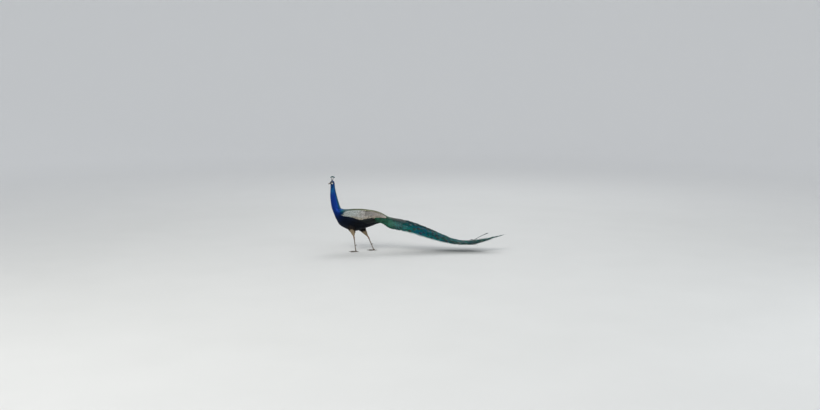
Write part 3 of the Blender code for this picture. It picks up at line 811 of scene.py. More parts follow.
def start_finish(name, roughness, specular=0.5, **fixed):
    """A material, its graph and its shader, with the values that are the same all over it."""
    made = bpy.data.materials.new(name)
    made.use_nodes = True
    shader = made.node_tree.nodes["Principled BSDF"]
    for key, value in {"Roughness": roughness, "Specular IOR Level": specular, **fixed}.items():
        shader.inputs[key].default_value = value
    return made, Graph(made.node_tree), shader


TIP_FROM = 0.72  # how far along a feather its rounded tip begins


def tip_distance(g, lines, noise=0.10):
    """0 in a feather's middle, 1 along its rounded edge and tip."""
    tip = 1 - TIP_FROM
    past = g.math("MAXIMUM", g.scaled(lines["Along"], 1 / tip, -TIP_FROM / tip), 0.0)
    r = g.math("SQRT", g.plus(g.squared(lines["Side"]), g.squared(past)))
    return g.plus(r, g.scaled(lines["Noise"], 2 * noise, -noise))


BAR_PITCH = 0.058  # decimetres from bar to bar


def barred_pattern(g, lines, colour, density):
    """Broken, wavy dark bars that follow the feather's tip, and a pale fringe."""
    span = lines["Span"]
    warp, fine = g.noise(span, 14.0), g.noise(span, 60.0, 2.0)
    along = g.plus(g.split(span)[1], g.times(warp, 0.110))
    along = g.plus(along, g.times(g.squared(lines["Side"]), 0.05))
    wave = g.math("SINE", g.times(g.times(along, density), 2 * PI / BAR_PITCH))
    wave = g.plus(wave, g.scaled(fine, 2.8, -1.4))
    bars = g.ramp(g.scaled(wave, 0.25, 0.5), ((0.56, 0), (0.70, 1)))
    rim = g.ramp(tip_distance(g, lines), ((0.80, 0), (0.95, 1)))
    strength = g.times(g.scaled(warp, 0.9, 0.25), bars)
    strength = g.times(strength, g.math("SUBTRACT", 1.0, g.times(rim, 0.6)))
    colour = g.blend(strength, colour, (0.035, 0.030, 0.028))
    return g.blend(g.times(rim, 0.30), colour, (0.62, 0.56, 0.46))


def scaled_pattern(g, lines, colour, _):
    """A bright middle, a copper line round it and a black edge, as on the scaly back."""
    r = tip_distance(g, lines, 0.08)
    copper, black = g.ramp(r, ((0.45, 0), (0.62, 1), (0.80, 0))), g.ramp(r, ((0.70, 0), (0.86, 1)))
    colour = g.blend(g.times(copper, 0.55), colour, (0.160, 0.080, 0.020))
    return g.blend(g.times(black, 0.94), colour, (0.005, 0.010, 0.009))


def edged_pattern(g, lines, colour, _):
    """A darker edge, so that each scale of the breast and belly reads."""
    edge = g.ramp(tip_distance(g, lines, 0.14), ((0.62, 0), (0.95, 1)))
    return g.blend(g.times(edge, 0.75), colour, (0.003, 0.005, 0.010))


def eyed_pattern(g, lines, *_):
    """The eye of a train feather: a dark notched heart in turquoise, copper, gold and violet rings."""
    side = g.math("ABSOLUTE", g.scaled(g.split(g.map("vane"))[0], 2.0, -1.0))
    along = g.scaled(lines["Along"], 2.0, -1.0)
    noise = g.scaled(lines["Noise"], 0.10, -0.05)
    r = g.plus(g.math("SQRT", g.plus(g.squared(side), g.squared(along))), noise)
    rings = g.ramp(
        r,
        (
            (0.00, (0.002, 0.110, 0.300)),
            (0.41, (0.002, 0.140, 0.320)),
            (0.46, (0.095, 0.036, 0.008)),
            (0.66, (0.120, 0.050, 0.010)),
            (0.71, (0.120, 0.110, 0.016)),
            (0.76, (0.060, 0.030, 0.040)),
            (0.82, (0.070, 0.110, 0.018)),
            (0.95, (0.010, 0.050, 0.022)),
        ),
    )
    # The heart sits a little behind the middle; its notch opens towards the tip.
    notched = g.math("SUBTRACT", g.plus(along, 0.10), g.times(side, 0.45))
    heart = g.math("SQRT", g.plus(g.squared(g.times(side, 1.15)), g.squared(notched)))
    heart = g.ramp(g.plus(heart, noise), ((0.31, 1), (0.36, 0)))
    return g.blend(heart, rings, (0.010, 0.003, 0.050))


def feather_finish(
    name,
    roughness,
    metallic,
    pitch=0.010,
    edge=0.55,
    tip=0.3,
    shaft=(0.02, 0.02, 0.02),
    pattern=None,
    sheen=(1, 1, 1),
    shine=0.25,
    root=0.40,
    quill=0.6,
):
    """Feathers that take their colour from their tint, with darker roots and edges, a shaft and barbs."""
    made, g, shader = start_finish(name, roughness, shine, **{"Specular Tint": (*sheen, 1.0), "Metallic": metallic})
    colour, gloss = g.attribute("tint", "Color"), g.attribute("tint", "Alpha")
    group = g.node("ShaderNodeGroup", node_tree=BARB_LINES)
    group.inputs["Pitch"].default_value = pitch
    lines = group.outputs
    if pattern:
        colour = pattern(g, lines, colour, gloss)
    shade = g.scaled(g.math("POWER", lines["Side"], 2.5), -edge, 1.0)
    ends = g.ramp(lines["Along"], ((0.0, root), (0.55, 0.5 * root + 0.58), (0.85, 1.0), (1.0, 1.0 - tip)))
    shade = g.times(shade, ends)
    shade = g.times(shade, g.scaled(lines["Lines"], 0.30, 0.80))
    shade = g.times(shade, g.scaled(lines["Noise"], 0.70, 0.65))
    middle = g.math("LESS_THAN", lines["Side"], 0.045)
    colour = g.blend(g.times(middle, quill), g.shaded(colour, shade), shaft)
    g.join(colour, shader.inputs["Base Color"])
    if metallic:
        g.join(g.times(gloss, metallic), shader.inputs["Metallic"])
    g.bump(shader, lines["Lines"], 0.35, 0.0003)
    return made


BLUE_SHEEN, TEAL_SHEEN = (0.7, 0.9, 1.0), (0.5, 0.9, 1.0)
PLUMAGE = feather_finish(
    "iridescent feathers", 0.42, 0.75, pitch=0.0065, shaft=(0.004, 0.010, 0.030), sheen=BLUE_SHEEN
)
LOOSE_BARBS = feather_finish(
    "train barbs", 0.46, 0.80, pitch=0.0065, edge=0.3, shaft=(0.02, 0.03, 0.02), sheen=TEAL_SHEEN, shine=0.08,
    root=0.62,
)
EDGED = feather_finish(
    "breast feathers", 0.50, 0.70, edge=0.2, tip=0.1, shine=0.10, shaft=(0.004, 0.008, 0.020), sheen=(0.7, 0.85, 1.0),
    pattern=edged_pattern,
)
SCALED = feather_finish(
    "scaly back feathers", 0.40, 0.75, edge=0.1, tip=0.0, shaft=(0.05, 0.05, 0.01), pattern=scaled_pattern
)
EYED = feather_finish("train eyes", 0.38, 0.75, edge=0.0, tip=0.0, shaft=(0.05, 0.04, 0.01), pattern=eyed_pattern)
BARRED = feather_finish(
    "barred feathers", 0.65, 0.0, edge=0.18, tip=0.0, shaft=(0.14, 0.11, 0.08), pattern=barred_pattern, shine=0.15
)
QUILLS = feather_finish(
    "dark quill feathers", 0.45, 0.25, edge=0.35, tip=0.1, shaft=(0.012, 0.011, 0.010), shine=0.2
)
FLUFF = feather_finish(
    "soft feathers", 0.85, 0.10, pitch=0.014, edge=0.2, tip=0.1, shaft=(0.10, 0.08, 0.06), shine=0.15, root=0.66,
    quill=0.12,
)


# --- markings ---
def glossy(colour, gloss):
    """Colours with their gloss as the fourth value."""
    colour = np.atleast_2d(colour)
    return np.concatenate((colour, np.broadcast_to(np.asarray(gloss, float), (len(colour),))[:, None]), 1)


def marking(s, angle):
    """The body's colour and gloss at a place: s sections from the bill, angle from the middle of the back."""
    s, angle = np.asarray(s, float), np.asarray(angle, float)
    backward = (1 + np.cos(angle)) / 2
    above = smooth(0.55, 0.86, backward) * smooth(6.5, 7.3, s)
    crown = smooth(3.0, 4.0, s) * smooth(0.72, 0.98, backward) * (1 - smooth(6.0, 7.0, s))
    colour = layered(
        LORE,
        ((0.004, 0.060, 0.230), smooth(0.3, 1.6, s) * 0.9),
        (AZURE, smooth(2.6, 3.6, s) * (1 - 0.5 * backward)),
        (COBALT, smooth(3.7, 4.8, s)),
        (TEAL, crown * 0.75),
        (ROYAL, smooth(5.4, 7.2, s) * (1 - backward)),
        (NAVY, smooth(6.8, 7.8, s)),
        (MIDNIGHT, smooth(7.4, 8.5, s)),
        (SOOT, smooth(8.6, 10.0, s)),
        (mix(TEAL, GOLD_GREEN, smooth(7.4, 8.8, s)), above),
        ((0.020, 0.016, 0.013), smooth(11.2, 12.2, s) * (1 - above)),
    )
    gloss = 0.9 - 0.62 * smooth(7.4, 9.0, s) * (1 - above) - 0.23 * smooth(10.0, 11.5, s) * (1 - above)
    return glossy(colour, gloss)


# --- the skin ---
COAT_DEPTH = (
    (0.0, 0.0004), (1.0, 0.0008), (3.0, 0.0014), (4.3, 0.0022), (7.0, 0.0034), (9.0, 0.0042), (13.0, 0.0036),
)


def wing_swell(grid):
    """How far the folded wing stands out from the body, on the body's own grid."""
    swell = np.zeros(grid.points.shape[:2])
    upper, flight = WINGS["right", "upper"], WINGS["right", "flight"]
    trees = [BVHTree.FromPolygons(*grid_faces(wing.points), all_triangles=False) for wing in (upper, flight)]
    for i in np.flatnonzero((grid.u > 7.4) & (grid.u < 11.2)):
        for j in range(len(grid.v)):
            if not 0 < grid.v[j] < PI:
                continue
            start, way = Vector(grid.points[i, j]), Vector(grid.normal[i, j])
            for tree in trees:
                hit = tree.ray_cast(start - way * 0.001, way, 0.03)
                if hit[0] is not None:
                    swell[i, j] = max(swell[i, j], hit[3] - 0.001)
                    swell[i, -j % len(grid.v)] = swell[i, j]
    swell *= (1 - smooth(10.3, 11.1, grid.u))[:, None]
    return softened(swell, 2, 3)


def grid_faces(points):
    """A grid's points and its four-sided faces."""
    rows, columns = points.shape[:2]
    index = np.arange(rows * columns).reshape(rows, columns)
    faces = np.stack((index[:-1, :-1], index[1:, :-1], index[1:, 1:], index[:-1, 1:]), -1).reshape(-1, 4)
    return [Vector(p) for p in points.reshape(-1, 3)], faces.tolist()


def loft(rings):
    """A closed bmesh made from a circle that is extruded through rings of points."""
    bm = bmesh.new()
    count = len(rings[0])
    made = bmesh.ops.create_circle(bm, segments=count, radius=1.0)
    loop = sorted(made["verts"], key=lambda v: math.atan2(v.co.y, v.co.x) % (2 * PI))
    edges = list(bm.edges)
    layers = [loop]
    for _ in rings[1:]:
        grown = bmesh.ops.extrude_edge_only(bm, edges=edges)["geom"]
        edges = [item for item in grown if isinstance(item, bmesh.types.BMEdge) and len(item.link_faces) == 1]
        fresh = {item for item in grown if isinstance(item, bmesh.types.BMVert)}
        loop = [next(e.other_vert(v) for e in v.link_edges if e.other_vert(v) in fresh) for v in loop]
        layers.append(loop)
    for loop, ring in zip(layers, rings):
        for vert, point in zip(loop, ring):
            vert.co = point
    bmesh.ops.holes_fill(bm, edges=[e for e in bm.edges if e.is_boundary])
    bmesh.ops.poke(bm, faces=[f for f in bm.faces if len(f.verts) > 4])
    bmesh.ops.recalc_face_normals(bm, faces=bm.faces)
    return bm


def coordinates(obj):
    """The places of a mesh object's points."""
    points = np.empty(len(obj.data.vertices) * 3)
    obj.data.vertices.foreach_get("co", points)
    return points.reshape(-1, 3)


def object_of(bm, name):
    """A smooth mesh object from a bmesh."""
    mesh = bpy.data.meshes.new(name)
    bm.to_mesh(mesh)
    bm.free()
    mesh.shade_smooth()
    obj = bpy.data.objects.new(name, mesh)
    bpy.context.scene.collection.objects.link(obj)
    return obj


def settle(obj):
    """Applies all of an object's modifiers to its mesh."""
    bpy.context.view_layer.update()
    shape = bpy.data.meshes.new_from_object(obj.evaluated_get(bpy.context.evaluated_depsgraph_get()))
    obj.modifiers.clear()
    obj.data = shape


def combine(obj, other):
    """Joins another closed mesh to an object's own and drops the other."""
    modifier = obj.modifiers.new("join", "BOOLEAN")
    modifier.operation, modifier.solver, modifier.object = "UNION", "MANIFOLD", other
    settle(obj)
    bpy.data.objects.remove(other, do_unlink=True)


SWELL = wing_swell(BODY)
SKIN_POINTS = BODY.points + BODY.normal * (SWELL - keyed(COAT_DEPTH, BODY_S)[:, None])[..., None]
CLOTHED = Patch(BODY_S, BODY_ANGLES, BODY.points + BODY.normal * SWELL[..., None], wraps=True)
LID_LENGTH, LID_HEIGHT, LID_DIP = 0.80, 0.66, 0.14
LID_REACH = 0.013  # how far round an eye's middle the skin is reshaped
# Where the opening's own size is 1: what is drawn to its line, the rim's crest and breadth, and where it ends.
LID_DRAWN, LID_CREST, LID_BREADTH, LID_END = (0.90, 1.12), 1.16, 0.14, 1.8


def eyelids(bm):
    """Opens the skin over each eye, with a raised rim all round it."""
    for side, centre in EYES.items():
        middle = Vector(centre)
        near = {v for v in bm.verts if (v.co - middle).length < LID_REACH}
        edges = {e for v in near for e in v.link_edges if all(w in near for w in e.verts)}
        bmesh.ops.subdivide_edges(bm, edges=list(edges), cuts=1, use_grid_fill=True)
        out, ahead = (Vector(way) for way in EYE_WAYS[side])
        top = Vector(UP)
        for vert in bm.verts:
            offset = vert.co - middle
            way = offset.normalized()
            if offset.length > LID_REACH or way.dot(out) < 0.15:
                continue
            # The opening is a little longer than high, and dips towards the bill.
            flat_x, flat_z = way.dot(ahead), way.dot(top) + LID_DIP * way.dot(ahead)
            opening = math.sqrt((flat_x / LID_LENGTH) ** 2 + (flat_z / LID_HEIGHT) ** 2)
            if LID_DRAWN[0] < opening < LID_DRAWN[1]:
                flat_x, flat_z = flat_x / opening, flat_z / opening
                up = flat_z - LID_DIP * flat_x
                way = ahead * flat_x + top * up + out * math.sqrt(max(0.01, 1 - flat_x**2 - up**2))
                opening = 1.0
            lid = EYE_RADIUS + 0.0005 + 0.0007 * math.exp(-(((opening - LID_CREST) / LID_BREADTH) ** 2))
            if opening < 0.98:
                vert.co = middle + way * (EYE_RADIUS - 0.0016)
            elif opening < LID_END:
                share = float(smooth(1.05, LID_END, opening))
                vert.co = middle + way * (lid * (1 - share) + max(offset.length, EYE_RADIUS * 0.9) * share)


SHANK_TOP = {"left": 0.175, "right": 0.160}  # the height over which a shank is its cut end


def leg_mesh(side):
    """The bare shank and foot as one even mesh."""
    bm = bmesh.new()
    for name in (f"shank_{side}", f"foot_{side}"):
        bm.from_mesh(NODES[name].data)
    bmesh.ops.remove_doubles(bm, verts=bm.verts, dist=1e-6)
    hip, hock, _ = (Vector(p) for p in LEGS[side])
    # The cut end goes on up into the thigh.
    for vert in bm.verts:
        if vert.co.z > SHANK_TOP[side]:
            vert.co += (hip - hock).normalized() * 0.012
    obj = object_of(bm, f"leg_{side}")
    remesh = obj.modifiers.new("even", "REMESH")
    remesh.mode, remesh.voxel_size = "VOXEL", 0.0010
    relax = obj.modifiers.new("relax", "SMOOTH")
    relax.factor, relax.iterations = 0.5, 3
    settle(obj)
    return obj


def make_skin():
    """One closed skin for head, neck, body, thighs, shanks and feet."""
    bm = loft(SKIN_POINTS)
    eyelids(bm)
    skin = object_of(bm, "skin")
    for side, patch in THIGHS.items():
        combine(skin, object_of(loft(patch.points - patch.normal * THIGH_COAT), "thigh"))
        combine(skin, leg_mesh(side))
    return skin


def nearest(points, targets):
    """For each point, the nearest target's number and how far off it is."""
    tree = KDTree(len(targets))
    for i, target in enumerate(targets):
        tree.insert(target, i)
    tree.balance()
    found = [tree.find(p) for p in points]
    return np.array([f[1] for f in found]), np.array([f[2] for f in found])


def along_leg(points, side):
    """How far down the leg each point is, from hip to hock to foot and out along the toes, and how far off it."""
    hip, hock, foot = (np.array(p) for p in LEGS[side])
    shares, offs = [], []
    for a, b in ((hip, hock), (hock, foot)):
        t = np.clip((points - a) @ (b - a) / ((b - a) @ (b - a)), 0, 1)
        shares.append(t)
        offs.append(np.linalg.norm(points - (a + (b - a) * t[:, None]), axis=-1))
    first, second = np.linalg.norm(hock - hip), np.linalg.norm(foot - hock)
    down = np.where(offs[0] < offs[1], shares[0] * first, first + shares[1] * second)
    toes = np.linalg.norm(points - foot, axis=-1)
    down = np.where((points[:, 2] < 0.016) & (toes > 0.010), first + second + toes, down)
    return down, np.minimum(*offs), first, second


# Painted shade: the skin under the coat is painted darker than the feathers, so that it reads as shade where it shows
# between them.
SKIN_PAINTED_SHADE = 0.6  # how bright the skin is next to the coat over it


def paint_skin(skin):
    """Gives the skin the markings of the coat over it, darkened as painted shade where it shows between the feathers,
    and the legs their scutes.
    """
    mesh, points = skin.data, coordinates(skin)
    index, _ = nearest(points, BODY_GRID)
    u, v = BODY.u[index // BODY_TURNS], BODY.v[index % BODY_TURNS]
    tint = marking(u, v)
    # Painted shade: the coat's markings, made darker on the skin under the coat.
    tint[:, :3] *= SKIN_PAINTED_SHADE
    distance, _ = near_eye(points)
    face = (u < 3.4).astype(float)
    tint[:, :3] = layered(
        tint[:, :3],
        (LORE, lore_stripe(points) * face),
        (BARE_WHITE, bare_face(points) * face),
        ((0.014, 0.013, 0.015), smooth(1.22, 1.14, distance) * face),
    )
    tint[:, 3] *= 1 - face * np.clip(bare_face(points) + smooth(1.4, 1.2, distance), 0, 1)
    run = np.zeros(len(points))
    for side in SIDES:
        down, off, first, second = along_leg(points, side)
        near = (points[:, 1] * SIDES[side] > 0.012) & (down > 0.30 * first)
        near &= (points[:, 2] < 0.262) & ((off < 0.030) | (points[:, 2] < 0.03))
        thigh = near & (down < first * 0.84)
        # Painted shade: the buff skin under the thigh feathers is darkened in the same way.
        tint[thigh] = glossy(np.array(BUFF) * SKIN_PAINTED_SHADE, 0)
        bare = near & ~thigh
        hock = smooth(0.030, 0.004, np.abs(down - first))
        toes = smooth(first + second, first + second + 0.03, down)
        leg = layered(LEG_GREY, ((0.280, 0.130, 0.060), hock * 0.75), ((0.150, 0.130, 0.115), toes))
        tint[bare] = glossy(leg[bare], 0)
        run[bare] = down[bare]
    mesh.materials.clear()
    add_attribute(mesh, "tint", tint)
    add_attribute(mesh, "run", run)
    mesh.materials.append(SKIN_FINISH)


SCUTE_PITCH = 0.0046


def skin_finish():
    """Skin in its painted tint; rings of scutes and small cells where it runs down the bare legs."""
    made, g, shader = start_finish("skin", 0.55, 0.35)
    run, at = g.attribute("run"), g.place()
    grain, blotch = g.noise(at, 900.0), g.noise(at, 120.0)
    cells = g.node("ShaderNodeTexVoronoi", {"Vector": at, "Scale": 420.0}, feature="DISTANCE_TO_EDGE").outputs[0]
    rings = g.math("PINGPONG", g.times(g.plus(run, g.times(blotch, 0.0012)), 1 / SCUTE_PITCH), 0.5)
    groove, reticle = g.ramp(rings, ((0.0, 0), (0.16, 1))), g.ramp(cells, ((0.0, 0), (0.12, 1)))
    scutes = g.times(groove, g.scaled(reticle, 0.5, 0.5))
    scutes = g.scaled(g.math("SUBTRACT", scutes, 1.0), g.math("GREATER_THAN", run, 0.001), 1.0)
    shade = g.times(g.scaled(scutes, 0.65, 0.35), g.scaled(blotch, 0.5, 0.75))
    g.join(g.shaded(g.attribute("tint", "Color"), shade), shader.inputs["Base Color"])
    g.bump(shader, g.scaled(grain, 0.35, scutes), 0.6, 0.0006)
    return made


SKIN_FINISH = skin_finish()


# --- the coat on the body ---
def reader(sections, values):
    """A function that reads the smooth curve of values at sections."""
    keys = list(zip(sections, values))
    return lambda u: float(keyed(keys, [u])[0])


ROWS_AT = (0.0, 1.5, 3.0, 4.3, 5.4, 7.0, 9.0, 11.0, 13.0)
step_at = reader(ROWS_AT, (0.0015, 0.0018, 0.0023, 0.0032, 0.0042, 0.0056, 0.0078, 0.0090, 0.0100))
spacing_at = reader(ROWS_AT, (0.0018, 0.0022, 0.0028, 0.0038, 0.0048, 0.0066, 0.0092, 0.0104, 0.0110))


def unwrap_body(s, angle):
    """The body laid flat, for the maps of what grows on it."""
    return np.stack((angle / (2 * PI), s / LAST_SECTION), -1)


def near_eye(points):
    """How far each point is from the nearer eye's middle, in eye radii, and its height over it."""
    distances = np.stack([np.linalg.norm(points - EYES[side], axis=-1) for side in SIDES], -1)
    return distances.min(-1) / EYE_RADIUS, points[:, 2] - BETWEEN_EYES[2]


def bare_face(points):
    """1 on the bare white skin: a crescent over the eye and a broad patch below and behind it."""
    distance, height = near_eye(points)
    ahead = (points - BETWEEN_EYES) @ HEAD_AHEAD
    clear = smooth(0.0052, 0.0060, distance * EYE_RADIUS)
    patch = np.sqrt(((ahead + 0.0015) / 0.0105) ** 2 + ((height + 0.0090) / 0.0072) ** 2)
    below = smooth(1.08, 0.98, patch) * clear * smooth(-0.0022, -0.0036, height - 0.10 * ahead)
    ring = np.sqrt(((ahead + 0.0010) / 0.0095) ** 2 + ((height - 0.0015) / 0.0086) ** 2)
    above = smooth(1.06, 0.98, ring) * clear * smooth(0.0020, 0.0034, height)
    return np.clip(below + above, 0, 1) * (distance < 3)


def lore_stripe(points):
    """1 on the dark stripe that runs from the bill through the eye."""
    height = points[:, 2] - BETWEEN_EYES[2]
    ahead = (points - BETWEEN_EYES) @ HEAD_AHEAD
    return smooth(0.0042, 0.0022, np.abs(height + 0.10 * ahead)) * smooth(-0.022, -0.010, ahead)


COAT_ZONES = (("head", -0.15, 3.05, TINY), ("neck", 2.95, 6.9, SMALL), ("body", 6.55, 12.9, SOFT))


def from_back(v):
    """The turn from the middle of the back, to either side."""
    return np.where(v > PI, 2 * PI - v, v)


def has_feather(kind, u, v):
    """Whether a feather grows there: none in the eyes or on bare skin, and none under the folded wing."""
    if kind == "head":
        point = BODY.at(u, v)[0]
        return (near_eye(point)[0] > 1.36) & (bare_face(point) < 0.5)
    if kind == "neck":
        return np.ones(len(u), bool)
    turn = from_back(v)
    top = np.interp(u, WING_S, WING_TOPS) + 0.28
    bottom = np.interp(u, WING_S, WING_BOTTOMS) - 0.25 + 0.17 * smooth(9.4, 10.0, u)
    under = (turn > top) & (turn < bottom) & (u > 7.9)
    under |= (turn > top - 0.16) & (turn < 1.25) & (u > 7.7)
    return ~(under & (u < 12.0))


def short_of_face(u, v, length):
    """Lengths that stop short of the eyes and of the bare skin round them, and which feathers can do so."""
    for _ in range(4):
        tip = CLOTHED.ahead(u, v, length)[0]
        over = (near_eye(tip)[0] < 1.24) | (bare_face(tip) > 0.5)
        length = np.where(over, length * 0.70, length)
    return length, near_eye(tip)[0] > 1.16


def feather_body():
    """The contour feathers of the head, neck, breast, belly and back, in pieces."""
    pieces = []
    for kind, first, last, form in COAT_ZONES:
        rows = rows_on(BODY, first, last, always(0.0), always(2 * PI), step_at, spacing_at, PI / 2)
        keep = has_feather(kind, *rows[:2])
        u, v, step, spacing = (a[keep] for a in rows)
        length = step * (3.4 if kind == "head" else 3.9) * rng.uniform(0.9, 1.14, len(u))
        if kind == "head":
            length, clear = short_of_face(u, v, length)
            u, v, spacing, length = (a[clear] for a in (u, v, spacing, length))
        turn, over = from_back(v), 0.0
        if kind == "body":
            # Those in front of the wing lie over its first rows.
            over = 0.0030 * smooth(7.05, 7.35, u) * smooth(8.05, 7.75, u)
            over *= smooth(0.55, 0.75, turn) * smooth(2.05, 1.85, turn)
        depth = keyed(COAT_DEPTH, u) * 0.9
        rise = (-depth, -depth * 0.25 + over * 0.6, rng.uniform(-0.1, 0.25, len(u)) * depth + over)
        roll = rng.normal(0, 0.05, len(u))
        laid = lay(CLOTHED, u, v, length, rise, roll=roll)
        if kind == "body":
            plain = lay(BODY, u, v, length, rise, roll=roll)
            laid = picked_from((turn < 1.0) & (u > 7.8), plain, laid)
        tint = marking(u, v)
        if kind == "head":
            tint[:, :3] = mix(tint[:, :3], LORE, lore_stripe(BODY.at(u, v)[0]))
        tint[:, :3] *= rng.uniform(0.80, 1.2, (len(u), 1))
        unwrap = unwrap_body(u, v)
        if kind != "body":
            coat = Coat(f"{kind}_feathers")
            coat.add(form, laid, spacing * 0.96, tint, unwrap, thick=depth * 0.10)
            pieces.append((coat, PLUMAGE))
            continue
        back = (u > 7.2) & (np.cos(v) > 0.62)
        for part, finish, chosen in (("breast_feathers", EDGED, ~back), ("back_feathers", SCALED, back)):
            coat = Coat(part)
            half, thick = spacing[chosen] * 0.96, depth[chosen] * 0.10
            coat.add(form, picked(laid, chosen), half, tint[chosen], unwrap[chosen], thick=thick)
            if part == "breast_feathers":
                loose = chosen & (u > 7.4)
                loose_tips(coat, picked(laid, loose), spacing[loose], tint[loose], unwrap[loose])
            pieces.append((coat, finish))
    return pieces


def loose_tips(coat, laid, half, tint, unwrap):
    """Two loose barbs that run out over each feather's tip."""
    count = len(half)
    for _ in range(2):
        aside = rng.uniform(-0.8, 0.8, count)
        heading, across = laid["tip"] - laid["mid"], laid["across"][1]
        root = laid["mid"] + heading * rng.uniform(0.45, 0.75, count)[:, None] + across * (aside * half)[:, None]
        reach = np.linalg.norm(heading, axis=-1) * rng.uniform(0.45, 0.70, count)
        lift = laid["up"][1] * rng.uniform(0.02, 0.14, count)[:, None]
        way = unit(unit(heading) + across * (aside * 0.30)[:, None] + lift)
        add_barbs(coat, root, root + way * reach[:, None], across, half * 0.05, tint, unwrap, half * 0.05)


def each_array(change, *laids):
    """Laid feathers made by changing each array of some others."""
    made = {}
    for key, first in laids[0].items():
        values = [laid[key] for laid in laids]
        made[key] = tuple(change(*parts) for parts in zip(*values)) if isinstance(first, tuple) else change(*values)
    return made


def picked_from(chosen, one, other):
    """Feathers of one where chosen, and of the other elsewhere."""
    return each_array(lambda a, b: np.where(chosen[:, None], a, b), one, other)


def picked(laid, chosen):
    """Only the chosen ones of laid feathers."""
    return each_array(lambda a: a[chosen], laid)


def wing_bounds():
    """The angles of each wing's top and bottom edge at each section."""
    upper, flight = WINGS["right", "upper"], WINGS["right", "flight"]
    centre, up, right, _ = planes(WING_S)
    bounds = []
    for i, s in enumerate(WING_S):
        lowest = flight if flight.u[0] <= s <= flight.u[-1] else upper
        for patch, v in ((upper, 0.0), (lowest, 1.0)):
            p = patch.read(patch.points, np.array([s]), np.array([v]))[0] - centre[i]
            bounds.append(math.atan2(p @ right[i], p @ up[i]))
    return np.array(bounds[::2]), np.array(bounds[1::2])


WING_TOPS, WING_BOTTOMS = wing_bounds()


# --- bill, eyes, crest and horn ---
def head_point(ahead, right, up):
    """Points of the head: ahead of, right of and over the middle between the eyes."""
    ahead, right, up = np.broadcast_arrays(*(np.asarray(a, float) for a in (ahead, right, up)))
    return BETWEEN_EYES + ahead[..., None] * HEAD_AHEAD + right[..., None] * HEAD_RIGHT + up[..., None] * UP


def bill_finish():
    """Horn with fine streaks along it, darker and lighter by its tint."""
    made, g, shader = start_finish("bill horn", 0.38, **{"Coat Weight": 0.15})
    at = g.node("ShaderNodeMapping", {"Vector": g.place(), "Scale": (1.0, 1.0, 2.5)}).outputs[0]
    streak, grain = g.noise(at, 220.0, 4.0), g.noise(at, 1320.0, 2.0)
    g.join(g.shaded(g.attribute("tint", "Color"), g.scaled(streak, 0.9, 0.55)), shader.inputs["Base Color"])
    g.bump(shader, g.plus(streak, g.times(grain, 0.3)), 0.25, 0.0004)
    return made


def claw_finish():
    """Dark horn with streaks."""
    made, g, shader = start_finish("claw", 0.35, **{"Coat Weight": 0.2})
    streak = g.noise(g.place(), 260.0, 4.0)
    colour = g.ramp(streak, ((0.30, (0.030, 0.024, 0.020)), (0.70, (0.130, 0.105, 0.080))))
    g.join(colour, shader.inputs["Base Color"])
    g.bump(shader, streak, 0.3, 0.0003)
    return made


BILL_HORN, CLAW_HORN = bill_finish(), claw_finish()

# Along each half of the bill: how far ahead, the top, the edge and the half width.
BILL = {
    "upper": (
        (0.0110, 0.0010, -0.0086, 0.0070), (0.0143, -0.0001, -0.0093, 0.0069), (0.0181, -0.0005, -0.0096, 0.0067),
        (0.0220, -0.0008, -0.0100, 0.0065), (0.0258, -0.0014, -0.0106, 0.0062), (0.0296, -0.0026, -0.0113, 0.0057),
        (0.0335, -0.0046, -0.0122, 0.0050), (0.0373, -0.0075, -0.0136, 0.0040), (0.0404, -0.0108, -0.0152, 0.0030),
        (0.0430, -0.0146, -0.0172, 0.0019), (0.0444, -0.0176, -0.0188, 0.0008),
    ),
    "lower": (
        (0.0105, -0.0088, -0.0160, 0.0062), (0.0135, -0.0090, -0.0158, 0.0061), (0.0190, -0.0096, -0.0162, 0.0059),
        (0.0241, -0.0102, -0.0167, 0.0055), (0.0290, -0.0110, -0.0172, 0.0049), (0.0335, -0.0121, -0.0174, 0.0040),
        (0.0375, -0.0137, -0.0174, 0.0028), (0.0405, -0.0154, -0.0172, 0.0014), (0.0416, -0.0162, -0.0170, 0.0007),
    ),
}
BILL_TURNS, BILL_RINGS = 56, 90
NOSTRIL = (0.0215, 0.0050, -0.0048)
NOSTRIL_REACH = (0.0024, 0.0040, 0.0009)  # how far it is from its middle to its rim: ahead, aside and up


def nostril_reach(points, side):
    """How far points are from the middle of a nostril, which is 1 at its rim."""
    offset = points - head_point(NOSTRIL[0], NOSTRIL[1] * side, NOSTRIL[2])
    ahead = offset @ HEAD_AHEAD
    way = np.stack((ahead, offset @ HEAD_RIGHT, offset[:, 2] + 0.25 * ahead), -1)
    return np.linalg.norm(way / NOSTRIL_REACH, axis=-1)


def softer(wave, power):
    """A sine or cosine with a blunter or a sharper turn."""
    return np.sign(wave) * np.abs(wave) ** power


